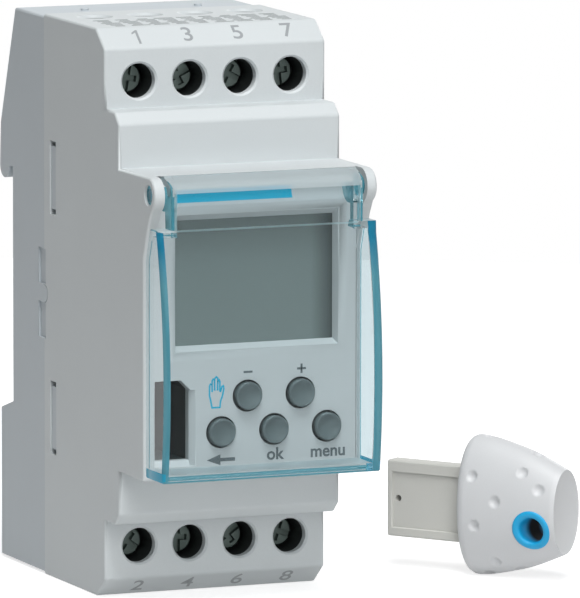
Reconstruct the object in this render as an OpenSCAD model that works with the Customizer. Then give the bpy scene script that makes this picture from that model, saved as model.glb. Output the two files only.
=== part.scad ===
// Timer for a 35 mm DIN rail, two modules wide: stepped housing, clear hinged cover, display,
// five buttons, eight screw terminals, a switching relay and a loose program key.
// X runs to the right, Y from the front towards the rail, Z up.
// The origin is the middle of the rail's front face.

/* [Body] */
// Overall width, two modules
body_w = 35; // [34.5:0.5:54]
// Height of the front housing
body_h = 84.2; // [83:0.2:92]
// Wall thickness of both shells
wall = 1.5; // [1.2:0.1:1.9]
// Rail face to the seam between rear base and front housing
seam_d = 13.3; // [12:0.1:14.5]
// Step at the seam on each end, where the rear base is lower
seam_step = 0.3; // [0.1:0.1:0.8]
// Rail face to the terminal faces
terminal_face_d = 37.7; // [37:0.1:40]
// Rail face to the shoulders
shoulder_d = 43.4; // [42:0.1:47]
// Rail face to the fascia
fascia_d = 53; // [51:0.1:58]
// Height of each terminal face, from a shoulder to the end
terminal_face_h = 11.6; // [10.6:0.1:13]
// Height of the raised block, for a 45 mm panel cut-out
block_h = 44.8; // [44:0.1:46]
// Depth of the sloping end edges
end_slope_d = 3.5; // [2:0.1:5]
// Height of the sloping end edges
end_slope_h = 2.8; // [1.5:0.1:3.5]
// Depth of the shoulder chamfers
shoulder_slope_d = 1.8; // [0.5:0.1:3]
// Height of the shoulder chamfers
shoulder_slope_h = 1.65; // [0.5:0.05:3]
// Floor thickness of the rear base behind the boards
base_floor = 2; // [1.5:0.1:2.4]
// Diameter of the board posts in the rear base
base_post_d = 4; // [3:0.2:5]

/* [Seam] */
// Height of each snap window in the side walls
snap_window_h = 11; // [8:0.5:13]
// Depth of each snap window
snap_window_d = 2.4; // [1.8:0.1:3]
// Seam to the rear edge of the snap windows
snap_window_offset = 2.4; // [1.8:0.1:3]
// Middle of the snap windows above and below the rail centre
snap_z = 18; // [15:0.5:21]
// Thickness of the snap arms
snap_arm_t = 1.5; // [1:0.1:1.6]
// Play round the snap arms and catches
snap_gap = 0.15; // [0.05:0.05:0.25]
// Open end of each snap window, above and below its arm
snap_open_end = 0.8; // [0.4:0.1:1.2]
// Height of the pry recesses at the seam
pry_h = 5.3; // [3:0.1:6]
// Depth of the pry recesses along the seam
pry_d = 3.1; // [2:0.1:4]
// How far the pry recesses go into the wall
pry_in = 0.4; // [0.3:0.1:0.9]
// Radius of the round locating tab between the pry recesses
tab_r = 1.4; // [0.8:0.1:1.6]

/* [Rail] */
// Width of the rail across its flanges
rail_w = 35; // [34:0.5:36]
// Thickness of the rail flanges
rail_t = 1; // [0.8:0.1:1.5]
// Play round the rail flanges
rail_gap = 0.2; // [0.1:0.05:0.4]
// How far the base reaches behind the rail's front face
hook_d = 5; // [4.6:0.1:6]
// How far the fixed hook covers the upper flange
hook_overlap = 1.7; // [1:0.1:2.5]
// Height where the sloping upper back begins
back_slope_z = 24; // [22:0.5:30]
// Depth at the top of the sloping upper back, in front of the rail face
back_top_d = 1.2; // [0.5:0.1:1.6]
// Drop of the slanted lower lip of the rail channel
lip_drop = 1.5; // [0.5:0.1:2.5]
// Width of the rail latch
latch_w = 11; // [8:0.5:16]
// Flange of the latch on each side, under the base's guides
latch_flange = 1.2; // [0.8:0.1:2]
// Thickness of the latch flange
latch_flange_t = 1.8; // [1.4:0.1:2.2]
// Play of the latch in its guides
latch_gap = 0.2; // [0.1:0.05:0.3]
// Travel of the latch
latch_travel = 3; // [2:0.1:3.5]
// How far the latch nose covers the lower flange
latch_overlap = 1.7; // [1:0.1:2.5]
// Distance of the latch's stop shoulders below the rail edge
latch_stop = 4; // [3:0.1:6]
// Width of the screwdriver slot in the latch's tail
latch_slot_w = 6; // [4:0.5:7]

/* [Terminals] */
// Screw axes inside the end faces
terminal_inset = 7.7; // [7:0.1:8.2]
// Thickness of the ribs between the clamps
rib_t = 1; // [0.6:0.1:1.2]
// Diameter of the screw access holes
access_d = 5.2; // [4.8:0.1:5.6]
// Chamfer at the mouth of the access holes
access_chamfer = 0.3; // [0.1:0.05:0.5]
// Terminal face to the screw heads
head_depth = 5; // [4:0.1:6]
// Thickness of the screw heads
head_t = 1.8; // [1.4:0.1:2.2]
// Play round the screw heads
head_gap = 0.3; // [0.2:0.05:0.5]
// Width of the driver slot in the screw heads
driver_slot_w = 0.9; // [0.6:0.1:1.2]
// Thickness of the shelf under the screw heads
shelf_t = 1.2; // [0.8:0.1:1.6]
// Thread diameter of the screws
thread_d = 3.5; // [3:0.1:3.8]
// Play between thread and clamp, on the radius
thread_gap = 0.06; // [0.03:0.01:0.1]
// Lift of the clamp from open to closed
clamp_travel = 3; // [2:0.1:3.5]
// Length of the cage clamps along the wire
clamp_l = 7; // [6:0.1:8]
// Side wall thickness of the cage clamps
clamp_side_t = 0.6; // [0.4:0.05:0.8]
// Thickness of the threaded plate of the cage clamps
clamp_plate_t = 1.8; // [1.4:0.1:2.2]
// Thickness of the lifting floor of the cage clamps
clamp_floor_t = 1.2; // [0.8:0.1:1.6]
// Play between clamps and their neighbours
clamp_gap = 0.3; // [0.2:0.05:0.4]
// Play of the terminal blocks between the side walls
block_gap = 0.1; // [0.05:0.05:0.2]
// Diameter of the wire entries
wire_d = 4.6; // [4:0.1:5]
// Chamfer at the mouth of the wire entries
wire_chamfer = 0.4; // [0.2:0.05:0.6]
// Thickness of the conductor bars
bar_t = 1.2; // [0.8:0.1:1.5]
// Width of the conductor bars
bar_w = 4; // [3:0.1:4.4]
// Soldered overlap of the conductor bars on the main board
bar_overlap = 2.4; // [1.5:0.1:4]

/* [Cover] */
// Hinge axis in front of the fascia
hinge_reach = 1.9; // [1.4:0.1:2.2]
// Hinge axis below the top of the raised block, also the ear radius
hinge_drop = 2.6; // [2.4:0.05:3]
// Diameter of the hinge pins
pin_d = 3; // [2:0.1:3.2]
// Play of the hinge pins, on the radius
pin_gap = 0.05; // [0.02:0.01:0.1]
// Thickness of the ears beside the cover
ear_t = 1.6; // [1.2:0.1:2]
// How far the hinge pins stop short of the ears' outer faces
pin_recess = 0.4; // [0.1:0.1:0.7]
// Play between cover and housing
cover_gap = 0.2; // [0.15:0.05:0.3]
// Play between the cover's arms and the ears
arm_gap = 0.8; // [0.2:0.1:1.2]
// Sides of the cover inside the sides of the body
cover_inset = 0.3; // [0:0.1:0.6]
// Wall thickness of the cover
cover_wall = 1.2; // [1:0.1:1.8]
// Radius of the cover's hinge knuckles
knuckle_r = 2.45; // [2.2:0.05:2.8]
// Crown of the cover in front of the fascia
cover_reach = 7.9; // [7.6:0.1:12]
// Radius of the cover's bowed front below its step
cover_bow_r = 95; // [85:5:160]
// Height of the cover's crown above the rail centre
cover_crown_z = -8.5; // [-10:0.5:0]
// Height of the cover's wider lower part below the top of the raised block
cover_step = 7.5; // [7.2:0.1:9]
// Slope of the cover's top wall from the hinge to its front edge
cover_top_fall = 1.7; // [0.5:0.05:2]
// Angle of the curved lip that closes the top wall behind the hinge
cover_lip_angle = 60; // [20:1:70]
// Thickness of the curved lip
cover_lip_t = 1.2; // [0.8:0.1:1.4]
// Rear edge of the cover's upper sides in front of the hinge axis
cover_arm_front = 0.6; // [0.3:0.1:1.9]
// Cover bottom above the bottom of the raised block
cover_rise = 0.6; // [0:0.1:1]
// Front of the ears' lower corner, in front of the fascia
ear_low_reach = 1.9; // [1:0.1:2.2]
// Ears' lower corner above the cover's step
ear_low_rise = 0.6; // [0.4:0.1:1]
// Height of the ears' root below the cover's step
ear_root_drop = 4.6; // [2:0.1:5]

/* [Fascia] */
// Thickness of the front panel
panel_t = 2; // [1.6:0.1:2.4]
// Play round the front panel
panel_gap = 0.1; // [0.05:0.05:0.2]
// Side of the body to the display window
window_side = 5.1; // [4.5:0.1:6.5]
// Middle of the display window right of the body's middle
window_shift = 0.55; // [0:0.05:1]
// Height of the display window
window_h = 18.5; // [16:0.5:19]
// Bottom of the display window
window_z = -3; // [-3.5:0.1:-2]
// Bevel beside the display window
window_side_bevel = 0.7; // [0.3:0.05:0.9]
// Bevel above the display window
window_top_bevel = 1.4; // [0.5:0.1:1.6]
// Bevel below the display window
window_low_bevel = 1.2; // [0.5:0.1:1.6]
// Width of the key slot
slot_w = 4.9; // [4.5:0.1:5.5]
// Height of the key slot
slot_h = 11.8; // [11:0.1:12]
// Bottom of the key slot
slot_z = -19.6; // [-19.7:0.1:-19]
// Rim between the key slot and the housing wall
slot_rim = 0.9; // [0.8:0.1:1.2]
// Chamfer of the key slot's upper inner corner
slot_chamfer = 1.5; // [0.8:0.1:2]
// Lead-in bevel of the key slot
slot_bevel = 0.8; // [0.4:0.1:1.2]
// Diameter of the posts that hold the display board
panel_post_d = 2.2; // [1.8:0.1:2.4]

/* [Buttons] */
// Diameter of the buttons
button_d = 4.3; // [3.8:0.1:4.8]
// Play round the buttons, on the radius
button_gap = 0.2; // [0.1:0.05:0.3]
// How far the buttons stand out of the fascia
button_proud = 1; // [0.9:0.1:1.4]
// Height of the buttons' domed tops
button_dome = 0.4; // [0.2:0.05:0.6]
// Travel of the buttons
button_travel = 0.8; // [0.3:0.1:0.9]
// Key slot to the axis of the first button of the lower row
button_slot_gap = 4.8; // [4.4:0.1:5.4]
// Right side of the body to the axis of the last button of the lower row
button_side = 6.2; // [5.6:0.1:6.8]
// Height of the lower row
button_low_z = -15.7; // [-16:0.1:-15.4]
// Rise from the lower row to the upper row
button_row_rise = 5.15; // [5:0.05:5.6]
// Retaining flange of the buttons, wider than the cap on each side
button_flange = 0.65; // [0.4:0.05:0.8]
// Thickness of the retaining flange
button_flange_t = 0.7; // [0.5:0.1:0.9]
// Diameter of the stems that press the switches
stem_d = 2.4; // [1.8:0.1:2.8]
// Play of the stems in the switches, on the radius
stem_gap = 0.1; // [0.05:0.01:0.15]
// How far the stems reach into the switches at rest
stem_in = 0.7; // [0.4:0.1:0.9]
// Side length of the switches
switch_w = 4.4; // [4:0.1:4.6]
// Height of the switches on the board
switch_h = 2.4; // [2.1:0.1:2.5]

/* [Boards] */
// Thickness of both circuit boards
board_t = 1.6; // [1:0.1:2]
// Ends of the main board inside the terminal blocks
main_board_inset = 2.2; // [1.2:0.1:3]
// Half height of the display board
display_board_z = 20.2; // [20:0.1:20.6]
// Play round the boards
board_gap = 0.3; // [0.2:0.1:0.6]
// Thickness of the display glass
lcd_t = 2; // [1.4:0.1:2.4]
// Border of the display glass outside the window
lcd_border = 1.3; // [1:0.1:1.6]
// Height of the display's frame on the board
lcd_stand = 2.75; // [2.6:0.05:3.2]
// Wall of the display's frame
lcd_frame_wall = 1; // [0.8:0.1:1.2]
// Thickness of the contact rubbers
zebra_t = 1.6; // [1.2:0.1:2]
// Thickness of the display's white backing
reflector_t = 1; // [0.6:0.1:1.5]
// Number of pins between the boards
link_count = 8; // [4:1:12]
// Distance between the pins
link_pitch = 2; // [1.8:0.1:2.2]
// Side length of the pins
link_pin_w = 0.6; // [0.4:0.05:0.8]
// Height of the pin row
link_z = 18; // [17:0.1:18.6]
// Side length of the pin header, and its height on the board
link_header_w = 2.5; // [2.2:0.1:3]
// Side length of the microcontroller
chip_w = 10; // [7:0.5:14]
// Thickness of the microcontroller
chip_t = 1.4; // [1:0.1:1.8]
// Length of the quartz crystal's can
crystal_l = 7; // [5:0.5:9]
// Diameter of the quartz crystal's can
crystal_d = 2.4; // [2:0.1:3]
// Diameter of the backup battery
battery_d = 20; // [16:0.5:23]
// Thickness of the backup battery
battery_t = 3.2; // [2:0.1:5]

/* [Relay and supply] */
// Width of the relay
relay_w = 12.6; // [11.5:0.1:13]
// Length of the relay
relay_l = 29; // [28:0.1:30]
// Height of the relay on the board
relay_h = 15.5; // [15:0.1:16]
// Wall of the relay's cover
relay_wall = 0.8; // [0.6:0.1:1]
// Thickness of the relay's base
relay_base_t = 1.5; // [1:0.1:1.6]
// Width of the relay's iron parts
yoke_w = 8; // [6:0.5:9]
// Thickness of the relay's iron parts
yoke_t = 1; // [0.8:0.1:1.2]
// Diameter of the coil's end flanges
coil_d = 10; // [8:0.5:10.5]
// Height of the coil with both flanges
coil_h = 9; // [8:0.1:9.2]
// Diameter of the coil's iron core
core_d = 4; // [3:0.1:5]
// Air gap between core and armature
armature_gap = 0.4; // [0.4:0.05:0.6]
// Distance between the open contacts
contact_gap = 0.75; // [0.72:0.01:0.9]
// Diameter of the contact rivets
contact_d = 3; // [2:0.1:3.5]
// Width of the mains capacitor
x2_w = 7.5; // [5:0.5:8]
// Length of the mains capacitor
x2_l = 18; // [12:0.5:18]
// Height of the mains capacitor
x2_h = 13; // [10:0.5:15]
// Diameter of the supply capacitor
supply_d = 8; // [6:0.5:8.5]
// Height of the supply capacitor
supply_h = 12; // [8:0.5:15]
// Diameter of the varistor
varistor_d = 9; // [7:0.5:10]
// Thickness of the varistor
varistor_t = 4; // [3:0.1:4.5]
// Side length of the bridge rectifier
rectifier_w = 7; // [5:0.5:8]
// Height of the bridge rectifier
rectifier_h = 3.2; // [2:0.1:4]

/* [Program key] */
// Turn of the key where it stands, from the direction in which it goes in
key_turn = 36; // [0:1:60]
// Key to the right of the timer's side
key_side = 25.5; // [23.5:0.1:50]
// Key in front of the rail face
key_d = 37.4; // [30:0.1:60]
// Free length of the blade
blade_l = 13.3; // [11:0.1:14]
// Thickness of the blade
blade_t = 4; // [3.4:0.1:4.2]
// Play of the blade in the key slot on each end
blade_gap = 0.1; // [0.05:0.05:0.4]
// Depth of the blade's recessed panel
blade_panel_in = 0.35; // [0.2:0.05:0.6]
// Diameter of the hole near the blade's tip
blade_hole_d = 1; // [0.6:0.1:1.4]
// Length of the key's core inside the grip
core_l = 8; // [6:0.5:9]
// Play between core and grip
core_gap = 0.1; // [0.05:0.05:0.2]
// Length of the grip
grip_l = 16.5; // [16:0.1:20]
// Greatest height of the grip
grip_h = 21.1; // [18:0.1:24]
// Greatest thickness of the grip
grip_t = 10.6; // [9.6:0.1:14]
// Height of the grip half way along
grip_mid_h = 18.4; // [16:0.1:20]
// Thickness of the grip half way along
grip_mid_t = 9.9; // [9:0.1:12]
// Height of the grip's end face
grip_end_h = 12.7; // [10.5:0.1:15]
// Thickness of the grip's end face
grip_end_t = 7.6; // [6:0.1:9]
// Radius of the balls that shape the dimples
dimple_r = 1.1; // [0.8:0.1:1.4]
// Depth of the dimples
dimple_depth = 0.45; // [0.2:0.05:0.6]
// Outer diameter of the lanyard eyelet
eyelet_d = 5.9; // [5:0.1:6.4]
// Hole of the lanyard eyelet
eyelet_hole_d = 3.7; // [3:0.1:4.2]
// Play between eyelet and grip, on the radius
eyelet_gap = 0.05; // [0.02:0.01:0.1]
// Eyelet behind the start of the grip
eyelet_u = 12.9; // [12.4:0.1:13.2]
// Eyelet below the grip's axis
eyelet_drop = 2.5; // [0:0.1:2.8]
// Thickness of the key socket's walls behind the fascia
socket_wall = 0.8; // [0.6:0.1:0.8]
// Depth of the socket behind the front panel
socket_d = 11; // [10:0.1:13]
// Thickness of the socket's contact springs
contact_t = 0.4; // [0.2:0.05:0.5]
// Width of the contact springs and of the key's pads
contact_w = 0.9; // [0.6:0.1:1.1]
// Distance between the contact springs
contact_pitch = 1.7; // [1.4:0.1:1.8]

/* [Hidden] */

$fn = 64;
// Overshoot of through cuts, and bite of pieces that grow from a wall
cut = 1;
bite = 0.3;
// Small gap between fixed pieces that face each other
seat = 0.05;

// Planes of the body
half_w = body_w / 2;
inner_x = half_w - wall;
end_z = body_h / 2;
base_end_z = end_z - seam_step;
shoulder_z = end_z - terminal_face_h;
block_z = block_h / 2;
seam_y = -seam_d;
face_y = -terminal_face_d;
shoulder_y = -shoulder_d;
fascia_y = -fascia_d;
floor_y = -base_floor;

// Rail channel and latch
rail_z = rail_w / 2;
notch_y = rail_t + rail_gap;
channel_z = rail_z + rail_gap;
nose_r = (hook_d - notch_y) / 2;
latch_front_y = notch_y + latch_gap;
latch_flange_y = latch_front_y + latch_flange_t;
latch_back_y = hook_d - latch_gap;
latch_tail_z = -base_end_z + latch_travel + latch_gap;
latch_slot_h = 3;
latch_slot_t = 1.4;

// Snap windows and pry recesses
window_rear_y = seam_y - snap_window_offset;
window_front_y = window_rear_y - snap_window_d;
arm_x = inner_x - snap_gap;
arm_tip = 0.6;
arm_root_d = 7;
arm_root_y = seam_y + arm_root_d;
catch_sink = 0.2;
pry_front = 0.6;
pry_offset_z = 0.25;
pip_d = 1.2;
pip_inset = 8.4;
pip_x = half_w - pip_inset;
pip_y = -8.5;

// Terminals, from the front to the wire
row_count = 4;
terminal_pitch = 2 * inner_x / row_count;
terminal_z = end_z - terminal_inset;
clamp_w = terminal_pitch - rib_t - 2 * clamp_gap;
head_d = access_d - 2 * head_gap;
head_front_y = face_y + head_depth;
head_back_y = head_front_y + head_t;
shelf_front_y = head_back_y + seat;
shelf_back_y = shelf_front_y + shelf_t;
clamp_open_y = shelf_back_y + clamp_gap + clamp_travel;
clamp_plate_back_y = clamp_open_y + clamp_plate_t;
bar_front_y = clamp_plate_back_y + cut;
screw_tip_y = bar_front_y - seat;
bar_back_y = bar_front_y + bar_t;
wire_room = wire_d + 2 * seat;
wire_y = bar_back_y + wire_room / 2;
clamp_floor_y = bar_back_y + wire_room;
clamp_back_y = clamp_floor_y + clamp_floor_t;
rib_back_y = clamp_back_y + cut / 2;
funnel_z = terminal_z - clamp_l / 2 - clamp_gap - cut;
bar_end_z = terminal_z + clamp_l / 2 + clamp_gap;
main_board_z = funnel_z - main_board_inset;
bar_root_z = main_board_z - bar_overlap;
function column_x(column) = (column - (row_count + 1) / 2) * terminal_pitch;
// Odd terminals are above the rail, even ones below
function terminal_x(index) = column_x(ceil(index / 2));
function terminal_row(index) = index % 2 == 1 ? 1 : -1;

// Boards
main_front_y = bar_back_y;
main_back_y = main_front_y + board_t;
main_board_x = inner_x - board_gap;
panel_back_y = fascia_y + panel_t;
lcd_front_y = panel_back_y + seat;
lcd_back_y = lcd_front_y + lcd_t;
display_front_y = lcd_back_y + lcd_stand;
display_back_y = display_front_y + board_t;
display_board_x = inner_x - board_gap;
base_post_in = 3.8;
base_post_x = inner_x - base_post_in;
base_post_z = main_board_z - base_post_d / 2 - seat;
ledge_t = 1.6;
ledge_d = 6;
ledge_z = 8;
panel_ledge_t = 0.7;
panel_ledge_d = 1.2;
panel_ledge_low = 2;
panel_ledge_h = 8;

// Front panel
panel_x = inner_x - panel_gap;
panel_z = block_z - wall - panel_gap;
window_x = half_w - window_side;
window_left = window_shift - window_x;
window_right = window_shift + window_x;
window_top_z = window_z + window_h;
slot_left = -inner_x + slot_rim;
slot_right = slot_left + slot_w;
slot_top = slot_z + slot_h;
button_up_z = button_low_z + button_row_rise;
button_first_x = slot_right + button_slot_gap;
button_last_x = half_w - button_side;
button_mid_x = (button_first_x + button_last_x) / 2;
button_pitch = button_last_x - button_mid_x;
button_places = [
  [button_mid_x - button_pitch / 2, button_up_z],
  [button_mid_x + button_pitch / 2, button_up_z],
  [button_mid_x - button_pitch, button_low_z],
  [button_mid_x, button_low_z],
  [button_mid_x + button_pitch, button_low_z]
];
post_inset = 1.4;
panel_post_x = panel_x - post_inset;
panel_post_z = panel_z - post_inset;
panel_post_mid_x = button_mid_x - button_pitch / 2;

// Contact rubbers outside the window
zebra_edge = lcd_border - lcd_frame_wall - seat * 2;

// Buttons and switches
flange_front_y = panel_back_y + seat * 2;
flange_back_y = flange_front_y + button_flange_t;
switch_front_y = display_front_y - switch_h;
stem_end_y = switch_front_y + stem_in;
switch_well_y = stem_end_y + button_travel + seat * 2;
button_front_y = fascia_y - button_proud;
dome_r = (pow(button_d / 2, 2) + pow(button_dome, 2)) / (2 * button_dome);

// Cover and hinge
hinge_y = fascia_y - hinge_reach;
hinge_z = block_z - hinge_drop;
ear_x = half_w - ear_t;
cover_x = half_w - cover_inset;
narrow_x = ear_x - arm_gap;
trough_r = knuckle_r + cover_gap + snap_gap;
cover_front_y = fascia_y - cover_reach;
cover_rear_y = fascia_y - cover_gap;
cover_step_z = block_z - cover_step;
cover_low_z = -block_z + cover_rise;
cover_top_z = hinge_z + knuckle_r;
ear_low_y = fascia_y - ear_low_reach;
ear_low_z = cover_step_z + ear_low_rise;
ear_root_z = cover_step_z - ear_root_drop;
cover_bow_y = cover_front_y + cover_bow_r;
arm_rear_y = hinge_y - cover_arm_front;
far_y = cover_front_y - cut;

// Key socket and key
socket_front_y = panel_back_y + seat;
socket_back_y = panel_back_y + socket_d;
socket_floor = 1.4;
contact_count = 6;
blade_h = slot_h - 2 * blade_gap;
blade_chamfer = slot_chamfer;
key_x = half_w + key_side;
key_z = -end_z;
grip_axis_z = grip_h / 2;
grip_peak_u = 1.8;
core_inset = 1;
core_h = blade_h - 2 * core_inset;
panel_tip_margin = 0.9;
panel_top_margin = 1.8;
panel_low_margin = 1.4;
pad_t = 0.2;
pad_l = 3;
// Rings of the grip: distance along its axis, thickness and height
grip_mid_u = 9.2;
grip_edge = 0.7;
grip_rings = [
  [0, 0.74 * grip_t, 0.8 * grip_h],
  [0.2 * grip_peak_u, 0.88 * grip_t, 0.91 * grip_h],
  [0.55 * grip_peak_u, 0.97 * grip_t, 0.975 * grip_h],
  [grip_peak_u, grip_t, grip_h],
  [grip_mid_u, grip_mid_t, grip_mid_h],
  [grip_l - grip_edge, grip_end_t + grip_edge, grip_end_h + grip_edge],
  [grip_l, grip_end_t, grip_end_h]
];
function grip_half_t(u) = lookup(u, [for (ring = grip_rings) [ring[0], ring[1] / 2]]);
function grip_half_h(u) = lookup(u, [for (ring = grip_rings) [ring[0], ring[2] / 2]]);
// Dimples as distance along the grip and angle round it, from its near side
dimple_places = [
  [3, 27], [7.1, 8], [3.6, -13], [11.1, 42], [14.1, 28], [6.3, -52], [4.4, -75], [9.6, -79],
  [3.7, 92], [12, 88], [3, 153], [7.1, 172], [3.6, 193], [11.1, 138], [14.1, 152], [6.3, 232]
];

// Relay, in its own frame on the back of the main board
arm_clearance = 0.6;
relay_x = -arm_x + snap_arm_t + arm_clearance + relay_w / 2;
relay_mid_z = 0;
coil_z = 5.2;
yoke_foot_y = relay_base_t + yoke_t;
coil_end_y = yoke_foot_y + coil_h;
core_proud = 0.5;
core_end_y = coil_end_y + core_proud;
armature_y = core_end_y + armature_gap;
yoke_end_y = armature_y - 2 * seat;
yoke_wall_z = coil_z + coil_d / 2 + cut;
hinge_end_z = yoke_wall_z + yoke_t + seat * 4;
armature_low_z = -0.5;
strip_t = 0.3;
strip_low_z = -9.5;
contact_z = -8;
rivet_t = 0.8;
contact_half_w = 1.5;
contact_arm = 2;
moving_face_y = armature_y + yoke_t - rivet_t;

// Supply parts below each other, between the relay and the edge of the main board
part_gap = 0.9;
supply_x = (relay_x + relay_w / 2 + main_board_x) / 2;
x2_z = 11;
supply_z = x2_z - x2_l / 2 - part_gap - supply_d / 2;
varistor_z = supply_z - supply_d / 2 - part_gap - varistor_t / 2;
varistor_foot = 3;
rectifier_z = varistor_z - varistor_t / 2 - part_gap - rectifier_w / 2;

// Parts in the middle of the boards
battery_inset = 1.7;
battery_x = main_board_x - battery_inset - battery_d / 2;
battery_z = -9;
chip_z = 2;
crystal_z = -9;

// Colours of the real pieces
housing_grey = [0.82, 0.84, 0.85];
panel_grey = [0.78, 0.82, 0.83];
cover_teal = [0.55, 0.85, 0.9, 0.5];
button_grey = [0.5, 0.55, 0.56];
board_green = [0.1, 0.4, 0.22];
metal_grey = [0.62, 0.63, 0.65];
black = [0.1, 0.1, 0.11];

// Shared shapes

// Extrudes an outline drawn as (Y, Z) across the width, centred
module side_slab(width)
  translate([-width / 2, 0, 0]) rotate([90, 0, 90]) linear_extrude(width) children();

// Extrudes an outline drawn as (X, Z) from y0 back to y1
module front_slab(y0, y1)
  translate([0, y1, 0]) rotate([90, 0, 0]) linear_extrude(y1 - y0) children();

module box(x, y, z)
  translate([x[0], y[0], z[0]]) cube([x[1] - x[0], y[1] - y[0], z[1] - z[0]]);

module rod_x(x0, x1, y, z, d)
  translate([x0, y, z]) rotate([0, 90, 0]) cylinder(d = d, h = x1 - x0);

module rod_y(x, y0, y1, z, d)
  translate([x, y0, z]) rotate([-90, 0, 0]) cylinder(d = d, h = y1 - y0);

module rod_z(x, y, z0, z1, d)
  translate([x, y, z0]) cylinder(d = d, h = z1 - z0);

module both_sides()
  for (side = [0, 1]) mirror([side, 0, 0]) children();

module both_ends()
  for (end = [0, 1]) mirror([0, 0, end]) children();

// Rear base

module base_outline() {
  polygon([
    [seam_y, -base_end_z], [hook_d, -base_end_z], [hook_d, -channel_z - lip_drop], [0, -channel_z],
    [0, channel_z], [notch_y, channel_z], [notch_y, rail_z - hook_overlap + nose_r],
    [hook_d, rail_z - hook_overlap + nose_r], [hook_d, back_slope_z], [-back_top_d, base_end_z],
    [seam_y, base_end_z]
  ]);
  translate([notch_y + nose_r, rail_z - hook_overlap + nose_r]) circle(nose_r);
}

module latch_guide() {
  box([-latch_w / 2 - latch_gap, latch_w / 2 + latch_gap], [notch_y, hook_d + cut],
      [-base_end_z - cut, -rail_z + cut]);
  box([-latch_w / 2 - latch_flange - latch_gap, latch_w / 2 + latch_flange + latch_gap],
      [notch_y, latch_flange_y + latch_gap], [-base_end_z - cut, -rail_z - latch_stop]);
}

// Shallow finger of missing wall on both sides of the seam, used by both shells
module pry_recesses()
  both_sides() for (end = [-1, 1])
    box([half_w - pry_in, half_w + cut], [seam_y - pry_front, seam_y - pry_front + pry_d],
        end > 0 ? [tab_r + pry_offset_z, tab_r + pry_offset_z + pry_h]
                : [-tab_r + pry_offset_z - pry_h, -tab_r + pry_offset_z]);

// Round tab that crosses the seam, from a depth in the wall to a height on it
module seam_tab(radius, sink, reach)
  both_sides() rod_x(half_w - sink, half_w + reach, seam_y, pry_offset_z, 2 * radius);

module snap_arm() {
  low = snap_z - snap_window_h / 2 + snap_open_end;
  high = snap_z + snap_window_h / 2 - snap_open_end;
  box([arm_x - snap_arm_t, arm_x], [window_front_y - arm_tip, arm_root_y], [low, high]);
  box([arm_x - snap_arm_t, inner_x + bite], [seam_y + snap_gap, arm_root_y], [low, high]);
  box([arm_x - bite, half_w - catch_sink], [window_front_y + snap_gap, window_rear_y - snap_gap],
      [low, high]);
}

module rear_base() color(housing_grey) {
  difference() {
    side_slab(body_w) base_outline();
    box([-inner_x, inner_x], [seam_y - cut, floor_y], [-base_end_z + wall, base_end_z - wall]);
    latch_guide();
    pry_recesses();
  }
  both_sides() both_ends() snap_arm();
  both_sides() both_ends() rod_y(base_post_x, main_back_y, floor_y + bite, base_post_z, base_post_d);
  seam_tab(tab_r - snap_gap, pry_in, 0);
  both_sides() rod_z(pip_x, pip_y, base_end_z - bite, end_z, pip_d);
}

// Rail latch

module rail_latch() color(black) difference() {
  union() {
    side_slab(latch_w) polygon([
      [latch_front_y, latch_tail_z], [latch_back_y, latch_tail_z],
      [latch_back_y, -channel_z - lip_drop], [latch_front_y, -rail_z + latch_overlap]
    ]);
    box([-latch_w / 2 - latch_flange, latch_w / 2 + latch_flange], [latch_front_y, latch_flange_y],
        [latch_tail_z, -rail_z - latch_stop - latch_gap]);
  }
  box([-latch_slot_w / 2, latch_slot_w / 2], [latch_back_y - latch_slot_t, latch_back_y + cut],
      [latch_tail_z - cut, latch_tail_z + latch_slot_h]);
}

// Front housing

// Upper half of the stepped side outline, drawn inside the shell by an inset
function step_outline(inset, rear_y, front_y) = [
  [rear_y, end_z - inset],
  [face_y + inset + end_slope_d, end_z - inset],
  [face_y + inset, end_z - inset - end_slope_h],
  [face_y + inset, shoulder_z - inset],
  [shoulder_y + inset + shoulder_slope_d, shoulder_z - inset],
  [shoulder_y + inset, shoulder_z - inset - shoulder_slope_h],
  [shoulder_y + inset, block_z - inset],
  [front_y, block_z - inset]
];
function both_halves(upper) = concat(upper,
  [for (i = [len(upper) - 1 : -1 : 0]) [upper[i][0], -upper[i][1]]]);

module housing_block()
  side_slab(body_w) polygon(both_halves(step_outline(0, seam_y, fascia_y)));

module housing_cavity()
  side_slab(2 * inner_x) polygon(both_halves(step_outline(wall, seam_y + cut, fascia_y - cut)));

// Screw access hole and wire entry of one terminal at the upper end
module terminal_cuts(column) {
  x = column_x(column);
  rod_y(x, face_y - cut, face_y + wall + cut, terminal_z, access_d);
  translate([x, face_y - access_chamfer, terminal_z]) rotate([-90, 0, 0])
    cylinder(d1 = access_d + 4 * access_chamfer, d2 = access_d, h = 2 * access_chamfer);
  rod_z(x, wire_y, end_z - wall - cut, end_z + cut, wire_d);
  translate([x, wire_y, end_z - wire_chamfer])
    cylinder(d1 = wire_d, d2 = wire_d + 4 * wire_chamfer, h = 2 * wire_chamfer);
}

module ear_outline() {
  translate([hinge_y, hinge_z]) circle(hinge_drop);
  polygon([
    [fascia_y + bite, block_z], [hinge_y, block_z], [hinge_y - hinge_drop, hinge_z],
    [ear_low_y, ear_low_z], [fascia_y, ear_root_z], [fascia_y + bite, ear_root_z]
  ]);
}

module hinge_trough()
  rod_x(-ear_x, ear_x, hinge_y, hinge_z, 2 * trough_r);

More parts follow.
